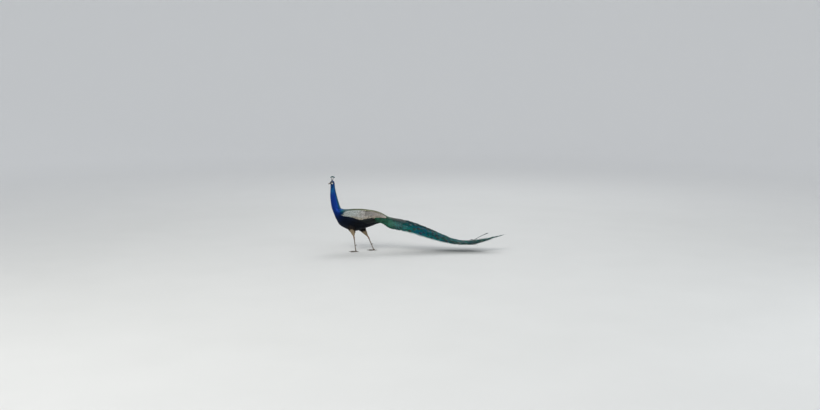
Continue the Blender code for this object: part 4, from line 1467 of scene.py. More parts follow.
def bill_half(part):
    """One half of the bill as a smooth horn; the upper one has a ridge, flat flanks and nostrils."""
    keys = [(k / (len(BILL[part]) - 1), row) for k, row in enumerate(BILL[part])]
    turns = np.arange(BILL_TURNS) * 2 * PI / BILL_TURNS
    sine, cosine = np.sin(turns), np.cos(turns)
    rings = []
    for ahead, top, edge, half in keyed(keys, np.linspace(0, 1, BILL_RINGS)):
        if part == "lower":
            up = (top + edge) / 2 + (top - edge) / 2 * softer(cosine, 0.9)
            rings.append(head_point(ahead, half * softer(sine, 0.9), up))
            continue
        # A narrow ridge above, flat flanks, and an edge that closes over the lower half.
        rise = ((cosine + 0.30) / 1.30).clip(0) ** 0.85
        up = edge + (top - edge) * rise + 0.0006 * (cosine < -0.5)
        points = head_point(ahead, half * softer(sine, 1.15), up)
        for side in SIDES.values():
            over = points[:, 2] > head_point(*NOSTRIL)[2]
            reach = nostril_reach(points, side)
            dent = 0.0011 * smooth(1.15, 0.55, reach)
            flap = 0.00035 * np.exp(-(((reach - 1.5) / 0.45) ** 2)) * over
            points += HEAD_RIGHT * side * (flap - dent)[:, None]
        rings.append(points)
    obj = object_of(loft(rings), f"bill_{part}_half")
    at = coordinates(obj)
    ahead = (at - BETWEEN_EYES) @ HEAD_AHEAD
    share = smooth(0.014, 0.044, ahead)
    tint = mix((0.170, 0.150, 0.130), (0.260, 0.235, 0.200), share)
    tint = mix(tint, (0.060, 0.052, 0.048), smooth(0.020, 0.012, ahead) * 0.7)
    # Painted shade: the nostrils are painted near black over their shallow dents, for the shade of their openings.
    for side in SIDES.values():
        if part == "upper":
            tint = mix(tint, (0.012, 0.010, 0.010), smooth(1.05, 0.65, nostril_reach(at, side)))
    add_attribute(obj.data, "tint", glossy(tint, 0.0))
    obj.data.materials.append(BILL_HORN)
    return place(obj, [f"bill_{part}"])


def eye_finish():
    """Pupil, iris with fine fibres, a dark rim and the white beyond, by the angle away from the eye's own way."""
    made, g, shader = start_finish("eye", 0.10, 0.12, **{"Coat Weight": 0.35, "Coat Roughness": 0.02})
    fibres = g.noise(g.place(), 1400.0, 4.0)
    colour = g.ramp(
        g.plus(g.attribute("away"), g.scaled(fibres, 0.05, -0.025)),
        (
            (0.00, (0.002, 0.002, 0.002)),
            (0.225, (0.002, 0.002, 0.002)),
            (0.245, (0.050, 0.020, 0.007)),
            (0.36, (0.085, 0.036, 0.012)),
            (0.44, (0.026, 0.012, 0.006)),
            (0.47, (0.008, 0.006, 0.006)),
            (0.56, (0.020, 0.018, 0.018)),
        ),
    )
    g.join(colour, shader.inputs["Base Color"])
    g.join(g.scaled(fibres, 0.10, 0.05), shader.inputs["Roughness"])
    return made


EYE_FINISH = eye_finish()


def eye_ball(side):
    """A round eye that looks out and a little ahead."""
    bm = bmesh.new()
    bmesh.ops.create_uvsphere(bm, u_segments=48, v_segments=28, radius=EYE_RADIUS)
    out = Vector(EYE_WAYS[side][0])
    turn = out.to_track_quat("Z", "Y").to_matrix()
    for vert in bm.verts:
        # The clear front stands out a little over the iris.
        swell = 0.0005 * float(smooth(0.80, 1.0, vert.co.normalized().z))
        vert.co = turn @ (vert.co * (1 + swell / EYE_RADIUS)) + Vector(EYES[side])
    obj = object_of(bm, f"eye_ball_{side}")
    away = unit(coordinates(obj) - EYES[side]) @ np.array(out)
    add_attribute(obj.data, "away", np.arccos(np.clip(away, -1, 1)) / (PI / 2))
    obj.data.materials.append(EYE_FINISH)
    return place(obj, [f"eye_{side}"])


FAN = vane(((0, 0.10), (0.25, 0.45), (0.50, 0.85), (0.72, 1.0), (0.88, 0.88), (1.0, 0.45)), 4)


def straight(root, mid, tip, across):
    """A laid feather from its own points, with one way across for all of it."""
    across = np.broadcast_to(across, root.shape)
    up = unit(np.cross(across, unit(tip - root)))
    return {"root": root, "mid": mid, "tip": tip, "across": (across, across), "up": (up, up)}


def add_barbs(coat, root, tip, across, half, tint, unwrap, thick):
    """Straight barbs from root to tip."""
    coat.add(BARB, straight(root, (root + tip) / 2, tip, across), half, tint, unwrap, thick=thick, camber=0.0)


def crest_barbs(coat, foot, way, across, length, place_across, shaft_brown):
    """Short bare barbs up one shaft of the crest, and longer blue-green ones round its tip."""
    shares = np.concatenate((rng.uniform(0.10, 0.76, 22), rng.uniform(0.74, 0.93, 30)))
    count = len(shares)
    hands = rng.choice((-1, 1), count)
    broad = smooth(0.72, 0.78, shares)
    reach = 0.0018 + broad * 0.0040 * rng.uniform(0.8, 1.25, count)
    angle = np.radians(38 - 12 * broad + rng.normal(0, 5, count))
    root = foot + way * (length * shares)[:, None]
    heading = way * np.cos(angle)[:, None] + across * (hands * np.sin(angle))[:, None]
    heading += HEAD_RIGHT * rng.normal(0, 0.10, count)[:, None]
    tip = root + unit(heading) * reach[:, None]
    colour = mix(shaft_brown, (0.002, 0.120, 0.230), broad)
    tint = glossy(mix(colour, (0.015, 0.220, 0.160), broad * rng.random(count)), 0.7 * broad)
    unwrap = np.stack((np.full(count, place_across), shares), -1)
    add_barbs(coat, root, tip, across, 0.00014 + 0.00012 * broad, tint, unwrap, 0.0003)


def grow_crest():
    """Bare dark shafts in a fan, each with short barbs on its way and a broad blue-green tip."""
    coat = Coat("crest_feathers")
    count, shaft_brown = 26, (0.030, 0.022, 0.018)
    spread = np.linspace(-1, 1, count)
    side = np.where(np.arange(count) % 2, 1, -1) * rng.uniform(0.2, 1.0, count)
    _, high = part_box("crest")
    foot = head_point(-0.010 + 0.0075 * spread, side * 0.0016, 0.0165 + 0.0012 * (1 - spread**2))
    lean = np.radians(-11 + 22 * spread + rng.normal(0, 1.2, count))
    length = (high.z - BETWEEN_EYES[2] - 0.0175) * (1 - 0.10 * spread**2) * rng.uniform(0.95, 1.0, count)
    way = HEAD_AHEAD * np.sin(lean)[:, None] + UP * np.cos(lean)[:, None] + HEAD_RIGHT * (side * 0.07)[:, None]
    way = unit(way)
    across = unit(np.cross(way, HEAD_RIGHT + HEAD_AHEAD * rng.normal(0, 0.25, count)[:, None]))
    tip = foot + way * length[:, None]
    mid = foot + way * length[:, None] * 0.5 + HEAD_AHEAD * rng.normal(0, 0.0006, count)[:, None]
    unwrap = np.stack((spread * 0.5 + 0.5, np.zeros(count)), -1)
    shafts = straight(foot - way * 0.003, mid, tip, across)
    coat.add(BARB, shafts, 0.00032, glossy(shaft_brown, 0.1), unwrap, thick=0.0005, camber=0.0)
    start = foot + way * (length * 0.76)[:, None]
    teal = mix((0.006, 0.150, 0.220), (0.020, 0.260, 0.220), rng.random(count))
    fans = straight(start, (start + tip) / 2, tip, across)
    coat.add(FAN, fans, 0.0040, glossy(teal * 0.9, 0.7), unwrap + (0, 0.8), thick=0.00025, camber=0.05)
    for k in range(count):
        crest_barbs(coat, foot[k], way[k], across[k], length[k], unwrap[k, 0], shaft_brown)
    return coat


def face_bristles():
    """Short bristles round the bill's root and along the lids."""
    coat = Coat("face_bristles")
    count = 150
    turn = rng.uniform(0, 2 * PI, count)
    u = rng.uniform(-0.17, 0.12, count)
    root, normal, along, across = BODY.at(u, turn)
    length = rng.uniform(0.0022, 0.0042, count)
    tip = root + (-along * 0.5 + normal * 0.45 + across * rng.normal(0, 0.3, count)[:, None]) * length[:, None]
    tint = glossy((0.006, 0.007, 0.010), 0.0)
    bristles = straight(root - normal * 0.0004, (root + tip) / 2, tip, across)
    coat.add(BARB, bristles, 0.00013, tint, unwrap_body(u + 0.2, turn), thick=0.00013, camber=0.0)
    return coat


CONE_TURNS, CONE_RINGS = 14, 18


def horn_cone(name):
    """A claw or spur as one smooth curved cone, rooted inside its toe or shank."""
    corners = np.array([v.co for v in NODES[name].data.vertices])
    middle = corners.mean(0)
    _, hock, foot = (np.array(p) for p in LEGS[name.split("_")[1]])
    claw = name.startswith("claw_")
    anchor = foot if claw else foot + (hock - foot) * (middle[2] / hock[2])
    way = np.linalg.svd(corners - middle)[2][0]
    way = way * np.sign((middle - anchor) @ way)
    along = (corners - middle) @ way
    rim = corners[along < along.min() + 0.0012]
    root, tip = rim.mean(0), corners[along.argmax()]
    thick = np.linalg.norm(rim - root, axis=-1).max()
    inward = np.array((*-unit(way[:2]), 0.0)) if claw else -way
    arch = 0.0016 if claw else -0.0018
    start = root + inward * (0.0060 if claw else 0.0050)
    across = unit(np.cross(way, UP))
    up = np.cross(across, way)
    turns = np.arange(CONE_TURNS) * 2 * PI / CONE_TURNS
    rings = []
    for t in np.linspace(0, 1, CONE_RINGS):
        centre = start + (tip - start) * t + UP * (arch * 4 * t * (1 - t))
        size = thick * (1 - t**1.9) ** 0.85 * (1.0 if claw else 1.05) + 0.00025
        ring = centre + across * (np.cos(turns) * size * 0.86)[:, None] + up * (np.sin(turns) * size)[:, None]
        ring[:, 2] = np.maximum(ring[:, 2], 0.0002)
        rings.append(ring)
    obj = object_of(loft(rings), f"{name}_horn")
    obj.data.materials.append(CLAW_HORN)
    return place(obj, [name])


# --- the wings ---
wing_step = reader((7.5, 8.3, 9.2, 10.2, 11.5, 12.8), (0.0050, 0.0075, 0.0120, 0.0175, 0.0200, 0.0200))


def wing_tint(u, v, count):
    """Pale bluish grey in front and buff behind; a cream lower rim, and a cream strip over a dark line on top."""
    front = smooth(7.68, 8.02, u + rng.normal(0, 0.05, count))
    upper = smooth(9.3, 9.9, u)
    shade = layered(
        (0.450, 0.510, 0.500),
        ((0.445, 0.410, 0.375), smooth(8.6, 10.4, u)),
        ((0.560, 0.500, 0.390), smooth(0.80, 0.95, v) * smooth(8.6, 9.4, u) * 0.8),
        ((0.012, 0.070, 0.120), 1 - front),
        ((0.500, 0.430, 0.280), smooth(0.13, 0.07, v) * upper * 0.85),
        ((0.050, 0.040, 0.035), smooth(0.11, 0.14, v) * smooth(0.24, 0.19, v) * upper * 0.85),
    )
    density = 1.30 - 0.50 * smooth(8.3, 10.5, u)
    return glossy(shade * rng.uniform(0.66, 1.18, (count, 1)), density)


def to_line(patch, u, v, end):
    """How long feathers rooted at u must be for their tips to lie at end."""
    return patch.read(patch.arc, end, v) - patch.read(patch.arc, u, v)


def unwrap_wing(u, v):
    """The wing laid flat, for the maps of what grows on it."""
    return np.stack((v, u / LAST_SECTION), -1)


def feather_coverts(coat, upper):
    """Rows of broad barred feathers over the front of the wing."""
    u, v, step, spacing = rows_on(
        upper, 7.66, 10.9, always(0.0), always(1.0), wing_step, lambda u: wing_step(u) * 1.15, 0.5
    )
    length = step * rng.uniform(2.9, 3.4, len(u))
    tip = rng.uniform(0.0002, 0.0012, len(u)) + 0.0018 * smooth(0.72, 0.95, v)
    mid = -0.0006 + 0.0010 * smooth(0.72, 0.95, v)
    # The hindmost ones go under the long scapulars.
    under = 0.0024 * smooth(9.6, 10.1, u) * smooth(0.84, 0.74, v)
    rise = (-0.0035 - under * 0.4, mid - under, tip - under)
    roll, skew = rng.normal(0, 0.05, len(u)), rng.normal(0, 0.012, len(u))
    laid = lay(upper, u, v, length, rise, roll=roll, skew=skew)
    tint = wing_tint(u, v, len(u))
    coat.add(ROUND, laid, spacing * 0.76, tint, unwrap_wing(u, v), thick=0.0003, patch_size=0.008)


def feather_scapulars(coat, upper):
    """Long scapulars and tertials, whose tips lie in steps towards the wing's point."""
    count = 34
    k = np.arange(count)
    v = 0.04 + 0.92 * ((k * GOLDEN) % 1.0)
    order = k / (count - 1)
    end = 12.74 - 1.15 * order
    root = end - 2.15 + 0.35 * order + rng.normal(0, 0.05, count)
    length = to_line(upper, root, v, np.minimum(end, 12.77))
    rise = (-0.004, -0.0004 + 0.0012 * order, 0.0002 + 0.0018 * order)
    laid = lay(upper, root, v, length, rise, skew=(0.5 - v) * 0.10)
    tint = wing_tint(root, v, count)
    coat.add(
        QUILL, laid, 0.0085 + 0.0020 * order, tint, unwrap_wing(root, v), thick=0.0004, camber=0.22, patch_size=0.012
    )


def feather_wing(side):
    """The barred feathers of one wing, the dark lower coverts and the dark quills."""
    upper, flight = WINGS[side, "upper"], WINGS[side, "flight"]
    barred = Coat(f"wing_coverts_{side}")
    feather_coverts(barred, upper)
    feather_scapulars(barred, upper)
    lower, dark = Coat(f"wing_lower_coverts_{side}"), Coat(f"wing_quills_{side}")
    u, v, step, spacing = rows_on(
        flight, 8.62, 10.9, always(0.0), always(1.0), always(0.0120), always(0.0140), 0.5
    )
    laid = lay(flight, u, v, step * 2.9, (-0.0035, -0.001, 0.0004), roll=rng.normal(0, 0.05, len(u)))
    tint = mix(MIDNIGHT, SOOT, smooth(8.8, 9.8, u)) * rng.uniform(0.8, 1.2, (len(u), 1))
    lower.add(ROUND, laid, spacing * 0.80, glossy(tint, 0.4), unwrap_wing(u, v), thick=0.0003)
    count = 16
    share = np.arange(count) / (count - 1)
    root = 9.4 + 1.1 * share
    rise = (-0.004, 0.0012 - 0.0003 * share, 0.0026 - 0.0006 * share)
    laid = lay(flight, root, 0.04 + 0.92 * share, 0.150 + 0.06 * (1 - share), rise, skew=-0.10)
    tint = mix(SOOT, (0.004, 0.014, 0.014), rng.random(count))
    dark.add(QUILL, laid, 0.0135, glossy(tint, 0.35), unwrap_wing(root, share), thick=0.0005, camber=0.2)
    return barred, lower, dark


# --- the thighs ---
def thigh_rim(patch):
    """A function that tells how far down the thigh, at a turn round it, its surface comes out of the body."""
    points = patch.points.reshape(-1, 3)
    index, _ = nearest(points, BODY_GRID)
    out = np.sum((points - BODY_GRID[index]) * BODY_NORMALS[index], -1).reshape(patch.points.shape[:2])
    first = np.array([np.flatnonzero(column > 0)[0] if (column > 0).any() else 0 for column in out.T])
    rim = softened(patch.u[first][None], 0, 2)[0]
    return lambda turn: np.interp(np.mod(turn, 2 * PI), [*patch.v, 2 * PI], [*rim, rim[0]])


def feather_thigh(side):
    """Soft feathers, dark like the belly at the top and pale buff below, with loose barbs over them."""
    patch = THIGHS[side]
    coat = Coat(f"thigh_feathers_{side}")
    rim = thigh_rim(patch)
    step_here, spacing_here = (lambda u: 0.0046 - 0.0022 * u), (lambda u: 0.0052 - 0.0020 * u)
    u, v, step, spacing = rows_on(
        patch, 0.03, 0.855, always(0.0), always(2 * PI), step_here, spacing_here, PI / 2
    )
    for form, share, half, reach in ((LOOSE, 1.0, 0.56, 4.2), (BARB, 1.6, 0.085, 4.6)):
        pick = np.arange(len(u)) if form is LOOSE else rng.integers(0, len(u), int(len(u) * share))
        count = len(pick)
        un = np.clip(u[pick] + rng.normal(0, 0.008, count), 0.025, THIGH_END)
        vn = v[pick] + rng.normal(0, 0.03, count)
        length = step[pick] * rng.uniform(0.80, 1.25, count) * reach * (1 - 0.30 * un)
        lift = rng.uniform(-0.0004, 0.0008, count) * (1 if form is LOOSE else 2.4)
        roll, skew = rng.normal(0, 0.12, count), rng.normal(0, 0.07, count)
        laid = lay(patch, un, vn, length, (-0.003, 0.0, lift), roll=roll, skew=skew)
        dark = smooth(0.19, 0.04, un - rim(vn) + rng.normal(0, 0.03, count))
        base = layered(BUFF, (EARTH, rng.random(count) * 0.22), (SOOT, dark * 0.97))
        tint = glossy(base * rng.uniform(0.88, 1.12, (count, 1)), 0.0)
        coat.add(form, laid, spacing[pick] * half, tint, np.stack((vn / (2 * PI), un), -1), thick=0.00022)
    cover_thigh_top(coat, patch, rim)
    return coat


def cover_thigh_top(coat, patch, rim):
    """Longer dark feathers that grow on the belly round the thigh and lie over the top of it."""
    count = 620
    vn = rng.uniform(0, 2 * PI, count)
    un = rim(vn) + rng.uniform(-0.05, 0.06, count)
    edge, normal, along, _ = patch.at(np.clip(un, 0.02, 0.7), vn)
    index, _ = nearest(edge + (normal - along) * rng.uniform(0.0, 0.015, count)[:, None], BODY_GRID)
    out = BODY_NORMALS[index]
    base = CLOTHED.points.reshape(-1, 3)[index] + (edge - BODY_GRID[nearest(edge, BODY_GRID)[0]]) * 0.2
    outside = (un > rim(vn))[:, None]
    root = np.where(outside, edge - normal * 0.003, base - out * 0.0065)
    reach = rng.uniform(0.016, 0.034, count)
    tip, n2, _, _, tip_u = patch.ahead(np.clip(un, 0.02, 0.7), vn + rng.normal(0, 0.10, count), reach)
    tip = tip + n2 * rng.uniform(0.0010, 0.0038, count)[:, None]
    mid = (np.where(outside, edge, base) + tip) / 2 + (out * 0.3 + n2 * 0.7) * 0.0022
    laid = rolled(root, mid, tip, np.where(outside, normal, out), n2, rng.normal(0, 0.15, count))
    belly = marking(BODY.u[index // BODY_TURNS], BODY.v[index % BODY_TURNS])[:, :3]
    colour = mix(belly, (0.012, 0.010, 0.009), rng.random(count) * 0.7)
    colour = mix(colour, np.array(EARTH) * 0.7, smooth(0.12, 0.24, tip_u - rim(vn)) * rng.random(count))
    half = rng.uniform(0.0026, 0.0042, count)
    coat.add(LOOSE, laid, half, glossy(colour, 0.1), np.stack((vn / (2 * PI), un), -1), thick=0.00025)


# --- the train ---
SHAFT_SIDES, SHAFT_STATIONS = 4, 26
SHAFT_HORN = (0.150, 0.125, 0.070)
EYE_DISC = vane(
    (
        (0, 0.14), (0.09, 0.55), (0.24, 0.86), (0.45, 1.0),
        (0.66, 0.96), (0.83, 0.76), (0.94, 0.46), (1.0, 0.16),
    ),
    6,
    0.0,
)
TRAIN_X0, TRAIN_X1 = float(TRAIN.u[0]), float(TRAIN.u[-1])
TRAIN_DEPTH = 0.0075
PLUMES = 170
EYED_SHARE = 0.86  # of the plumes end in an eye, the others in a fishtail of long barbs
LONGEST_PLUME = 1.4
MIDDLE_PART = 0.33  # the share of each half that belongs to the train's middle piece
TRAIN_MAP = (0.4, 1.5)  # the width and length of the train laid flat
HALF_GIRTH = np.array([np.linalg.norm(np.diff(ring, axis=0), axis=-1).sum() / 2 for ring in TRAIN.points])


def half_girth(x):
    """Half the way over the train's upper side, from edge to edge, at x."""
    return np.interp(x, TRAIN.u, HALF_GIRTH)


def tip_line(v):
    """How far back the train reaches at v, from its strips' own ends."""
    ends = [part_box("train_middle")[1].x, *(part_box(f"train_left_{k}")[1].x for k in TRAIN_STRIPS)]
    return np.interp(np.abs(v) * 4.5, [0, *TRAIN_STRIPS, 4.5], [*ends, ends[-1] - 0.02])


def train_point(x, v, rise):
    """Points on the train and their ways up; past its edges they go on outwards a little and hang."""
    inside = np.clip(v, -0.99, 0.99)
    point, normal, _, across = TRAIN.at(np.asarray(x, float), inside)
    beyond = (v - inside) * half_girth(x)
    point = point + across * (beyond * 0.18)[:, None] + normal * np.asarray(rise, float)[:, None]
    point[:, 2] -= np.abs(beyond) * 0.75
    return point, normal


def plan_plumes():
    """Each long feather's place across the train, start, end, lift at the tip, sway and own number."""
    k = np.arange(PLUMES)
    v = (-1 + 2 * ((k * GOLDEN) % 1.0)) * 0.97
    far = (k + 0.5) / PLUMES
    longest = far >= EYED_SHARE
    reach = tip_line(v) - 0.018
    first = -0.16 + 0.08 * np.abs(v)
    end = first + (reach - 0.03 - first) * (far / EYED_SHARE) ** 0.70
    end = np.where(longest, reach - rng.uniform(0.0, 0.035, PLUMES), end)
    start = rng.uniform(-0.385, -0.27, PLUMES)
    lift = rng.uniform(-0.001, 0.004, PLUMES) + (rng.random(PLUMES) > 0.93) * smooth(0.0, 0.2, end) * 0.010
    sway, seed = rng.normal(0, 0.030, PLUMES), rng.random(PLUMES)
    # The last one strays from the others and stands off at its tip.
    v[-1], end[-1], lift[-1], seed[-1], longest[-1] = -0.12, 0.80, 0.064, 0.62, False
    names = ("v", "start", "end", "lift", "sway", "seed", "fishtail")
    return [dict(zip(names, plume)) for plume in zip(v, start, end, lift, sway, seed, longest)]


def plume_rise(plume, x):
    """How far over the train's upper side a feather lies at x: the longer ones lie lower, and tips stand off."""
    share = np.clip((plume["end"] - x) / (TRAIN_X1 - TRAIN_X0), 0, 1)
    depth = TRAIN_DEPTH * share * smooth(TRAIN_X0 - 0.05, TRAIN_X0 + 0.25, x)
    return plume["lift"] * smooth(plume["end"] - 0.28, plume["end"], x) - depth


def plume_v(plume, x):
    """The place across the train at x of a feather: it wanders a little on its way."""
    along = (x - plume["start"]) / LONGEST_PLUME
    wander = plume["sway"] * np.sin(along * 6.0 + plume["seed"] * 6.28) * 0.5
    return plume["v"] * (0.90 + 0.10 * smooth(0.0, 0.45, along)) + wander


def train_tint(v, x, seed):
    """Each plume its own teal, blue or near black; navy along the ridge, emerald at the root, black low down."""
    aside = np.abs(v)
    base = mix((0.003, 0.150, 0.110), (0.002, 0.150, 0.180), smooth(0.25, 0.50, seed))
    navy = mix((0.006, 0.016, 0.034), (0.026, 0.018, 0.014), smooth(0.4, 0.6, seed))
    ridge = smooth(0.52, 0.25, aside) * smooth(-0.42, -0.30, x) * smooth(0.30, 0.08, x)
    grey = smooth(0.45, 0.75, x) * smooth(0.75, 0.35, aside) * smooth(0.25, 0.60, seed)
    base = layered(
        base,
        ((0.002, 0.090, 0.220), smooth(0.55, 0.72, seed) * smooth(-0.20, 0.05, x)),
        ((0.008, 0.260, 0.230), smooth(0.74, 0.80, seed) * smooth(0.90, 0.84, seed)),
        ((0.003, 0.026, 0.034), smooth(0.88, 0.93, seed) * 0.9),
        ((0.050, 0.070, 0.014), smooth(0.10, 0.03, seed) * 0.6),
        ((0.003, 0.120, 0.070), smooth(-0.12, -0.30, x) * 0.6),
        (navy, ridge * smooth(0.86, 0.66, seed) * 0.92),
        ((0.002, 0.013, 0.015), smooth(0.20, 0.45, x) * smooth(0.42, 0.72, aside) * 0.85),
        ((0.003, 0.040, 0.042), smooth(0.40, 0.70, x) * 0.45),
        ((0.034, 0.070, 0.080), grey * 0.70),
    )
    return base * (1 + 0.35 * smooth(-0.30, -0.05, x) * smooth(0.65, 0.35, x))[:, None]


def train_feathers(laid, form, coat, half, tint, here, x, gloss=0.8, **shape):
    """Adds feathers of the train, unwrapped by their place on it."""
    unwrap = np.stack(((np.clip(here, -1.2, 1.2) + 1.2) / 2.4, (x - TRAIN_X0) / TRAIN_MAP[1]), -1)
    coat.add(form, laid, half, glossy(tint, gloss), unwrap, **shape)


def plume_pieces(plume, x, ahead, aside, rise, tip_rise, roll=0.0):
    """Pieces that leave a plume at x, reach ahead and aside, and start and end at their own rises."""
    here = plume_v(plume, x)
    across = aside / half_girth(x)
    root, n0 = train_point(x, here, plume_rise(plume, x) + rise)
    halfway = x + ahead * 0.5
    mid, _ = train_point(halfway, here + across * 0.62, plume_rise(plume, halfway) + (rise + tip_rise) / 2 + 0.0004)
    tip, n2 = train_point(x + ahead, here + across, plume_rise(plume, x + ahead) + tip_rise)
    return rolled(root, mid, tip, n0, n2, roll), here


def grow_barbs(coat, plume):
    """The long loose barbs on both sides of a plume."""
    start, end, pitch = plume["start"], plume["end"], 0.0062
    count = int((end - start - 0.02) / pitch)
    x = start + 0.02 + pitch * (np.arange(count) + rng.random(count) * 0.6)
    share = (x - start) / (end - start)
    length = 0.026 + 0.030 * np.sin(PI * np.clip(share, 0, 1) ** 0.8) ** 0.7
    spread = 0
    if plume["fishtail"]:
        length = length * (1 + 0.5 * smooth(0.85, 0.97, share))
        spread = 12 * smooth(0.90, 1.0, share)
    for hand in (-1, 1):
        reach = length * rng.uniform(0.75, 1.25, count)
        angle = np.radians(rng.normal(27, 6, count) + spread)
        ahead, aside = reach * np.cos(angle), reach * np.sin(angle) * hand
        laid, here = plume_pieces(plume, x, ahead, aside, 0.0, rng.normal(0.0004, 0.0013, count))
        tint = train_tint(here, x, np.clip(plume["seed"] + rng.normal(0, 0.07, count), 0, 1))
        tint *= rng.uniform(0.70, 1.30, (count, 1))
        train_feathers(laid, BARB, coat, 0.00075, tint, here, x, thick=0.00035, camber=0.0)


def grow_web(coat, plume):
    """Soft feathers under the barbs, so that nothing shows through between them, painted darker as the shade under
    the barbs.
    """
    x = np.arange(plume["start"], plume["end"] - 0.10, 0.070)
    x = x + rng.uniform(-0.008, 0.008, len(x))
    roll = rng.normal(0, 0.10, len(x))
    laid, here = plume_pieces(plume, x, 0.105, 0.0, -0.0014, -0.0009, roll=roll)
    # Painted shade: the web takes the plumes' tint at half brightness, for the shade under the barbs above it.
    tint = train_tint(here, x, np.full(len(x), plume["seed"])) * 0.5
    train_feathers(laid, LOOSE, coat, 0.0105, tint, here, x, 0.6, thick=0.0004, camber=0.12)


def grow_eye(eyes, fringes, plume):
    """The eye near a plume's tip and the fringe of barbs round it."""
    x = np.array([plume["end"] - 0.040])
    roll = rng.normal(0, 0.18, 1) * (0.25 + 0.75 * smooth(0.10, 0.45, abs(plume["v"])))
    laid, here = plume_pieces(plume, x, 0.037, 0.0, 0.0016, 0.0020, roll=roll)
    count = 34
    turn = np.linspace(-2.9, 2.9, count)
    middle, n = laid["mid"][0], laid["up"][0][0]
    way, side = unit(laid["tip"][0] - laid["root"][0]), laid["across"][0][0]
    out = way * np.cos(turn)[:, None] + side * (0.80 * np.sin(turn))[:, None]
    root = middle + out * 0.0125 + n * 0.0012
    tip = middle + out * rng.uniform(0.019, 0.025, count)[:, None] + way * 0.010 - n * 0.0008
    v, at, seed = (np.full(count, value) for value in (plume["v"], x[0], plume["seed"]))
    tint = train_tint(v, at, seed) * 1.2 + 0.5 * np.array(GOLD_GREEN)
    fringe = rolled(root, (root + tip) / 2 + n * 0.0003, tip, n, n)
    train_feathers(fringe, BARB, fringes, 0.00055, tint, v, at, thick=0.0003, camber=0.0)
    half = 0.0150 * rng.uniform(0.88, 1.08)
    train_feathers(
        laid, EYE_DISC, eyes, half, GOLD_GREEN, here, x, 0.85, thick=0.0005, camber=0.06, patch_size=0.012
    )


def grow_train():
    """Barbs, web and eyes of every plume, and the lines of their shafts."""
    lines = []
    barbs = {name: Coat(f"train_barbs_{name}") for name in ("left", "middle", "right")}
    web, eyes, fringes = Coat("train_web"), Coat("train_eyes"), Coat("train_eye_fringes")
    for plume in plan_plumes():
        x = np.linspace(plume["start"], plume["end"] - 0.004, SHAFT_STATIONS)
        points, normals = train_point(x, plume_v(plume, x), plume_rise(plume, x))
        lines.append((points, normals, plume["end"] - plume["start"]))
        v = plume["v"]
        grow_barbs(barbs["left" if v < -MIDDLE_PART else "right" if v > MIDDLE_PART else "middle"], plume)
        grow_web(web, plume)
        if not plume["fishtail"]:
            grow_eye(eyes, fringes, plume)
    return lines, barbs, web, eyes, fringes


def rump_feathers():
    """Scaly gold and green feathers that grow larger over the train's root."""
    coat = Coat("rump_scales")
    growth = lambda least: lambda u: least + 0.018 * (u + 0.46)
    u, v, step, spacing = rows_on(
        TRAIN, TRAIN_X0 + 0.002, -0.15, always(-0.97), always(0.97), growth(0.0088), growth(0.0108), 0.0
    )
    keep = rng.random(len(u)) > smooth(-0.30, -0.14, u) * 0.80
    u, v, step, spacing = (a[keep] for a in (u, v, step, spacing))
    length = step * rng.uniform(2.7, 3.3, len(u)) * (1 + 0.35 * smooth(-0.30, -0.13, u))
    over = 0.0050 * smooth(-0.40, -0.30, u) * (1 - 0.75 * smooth(-0.27, -0.17, u))
    rise = (over * 0.3 - 0.002, over * 0.8, over + rng.uniform(0, 0.0012, len(u)))
    laid = lay(TRAIN, u, v, length, rise, roll=rng.normal(0, 0.06, len(u)))
    green = smooth(-0.44, -0.34, u + 0.16 * smooth(0.2, 0.7, np.abs(v)))
    dark = smooth(0.50, 0.25, np.abs(v)) * smooth(-0.40, -0.28, u)
    tint = layered(
        GOLD_GREEN,
        ((0.003, 0.130, 0.085), green),
        ((0.002, 0.120, 0.140), smooth(-0.36, -0.22, u)),
        ((0.006, 0.024, 0.034), dark * 0.85),
    )
    tint *= rng.uniform(0.60, 1.25, (len(u), 1))
    coat.add(ROUND, laid, spacing * 0.76, glossy(tint, 0.8), np.stack((v, u), -1), thick=0.0003)
    return coat


def tail_fan():
    """The stiff brown tail feathers that the train rests on, and the soft ones under their roots."""
    tree, _ = surface_of(["tail"])
    low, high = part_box("tail")
    count = 20
    side = np.linspace(-1, 1, count)

    def on_fan(x, y, rise):
        """Points on the solid tail's upper side, or at its mean height beyond it."""
        x, y = np.broadcast_arrays(x, y)
        hits = [tree.ray_cast(Vector((a, b, 1.0)), Vector(-UP))[0] for a, b in zip(x, y)]
        z = np.array([np.nan if hit is None else hit.z for hit in hits])
        z = np.where(np.isnan(z), np.nanmean(z), z)
        return np.stack((x, y, z + rise), -1)

    wide = high.y - 0.006
    order = 0.0024 * (1 - np.abs(side))
    root = on_fan(low.x + 0.010, 0.022 * side, -0.0030 + order * 0.2)
    mid = on_fan((low.x + high.x) / 2, wide * 0.66 * side, -0.0030 + order)
    tip = on_fan(high.x - 0.006 - 0.034 * side**2, wide * 0.90 * side, -0.0030 + order)
    coat = Coat("tail_fan")
    laid = rolled(root, mid, tip, UP, UP, -side * 0.12)
    tint = glossy(mix((0.085, 0.060, 0.040), EARTH, rng.random(count)), 0.05)
    unwrap = np.stack((side, np.zeros(count)), -1)
    coat.add(QUILL, laid, 0.0135, tint, unwrap, thick=0.0006, camber=0.10, patch_size=0.012)
    count = 420
    u, v = rng.uniform(11.6, 12.9, count), PI + rng.normal(0, 0.75, count)
    length = rng.uniform(0.030, 0.062, count)
    rise = (-0.002, 0.001, rng.uniform(-0.002, 0.006, count))
    laid = lay(CLOTHED, u, v, length, rise, roll=rng.normal(0, 0.3, count))
    tint = glossy(mix((0.030, 0.023, 0.018), (0.090, 0.070, 0.050), rng.random(count) ** 2), 0.0)
    fluff = Coat("vent_feathers")
    fluff.add(LOOSE, laid, 0.0038, tint, unwrap_body(u, v), thick=0.0003)
    return coat, fluff


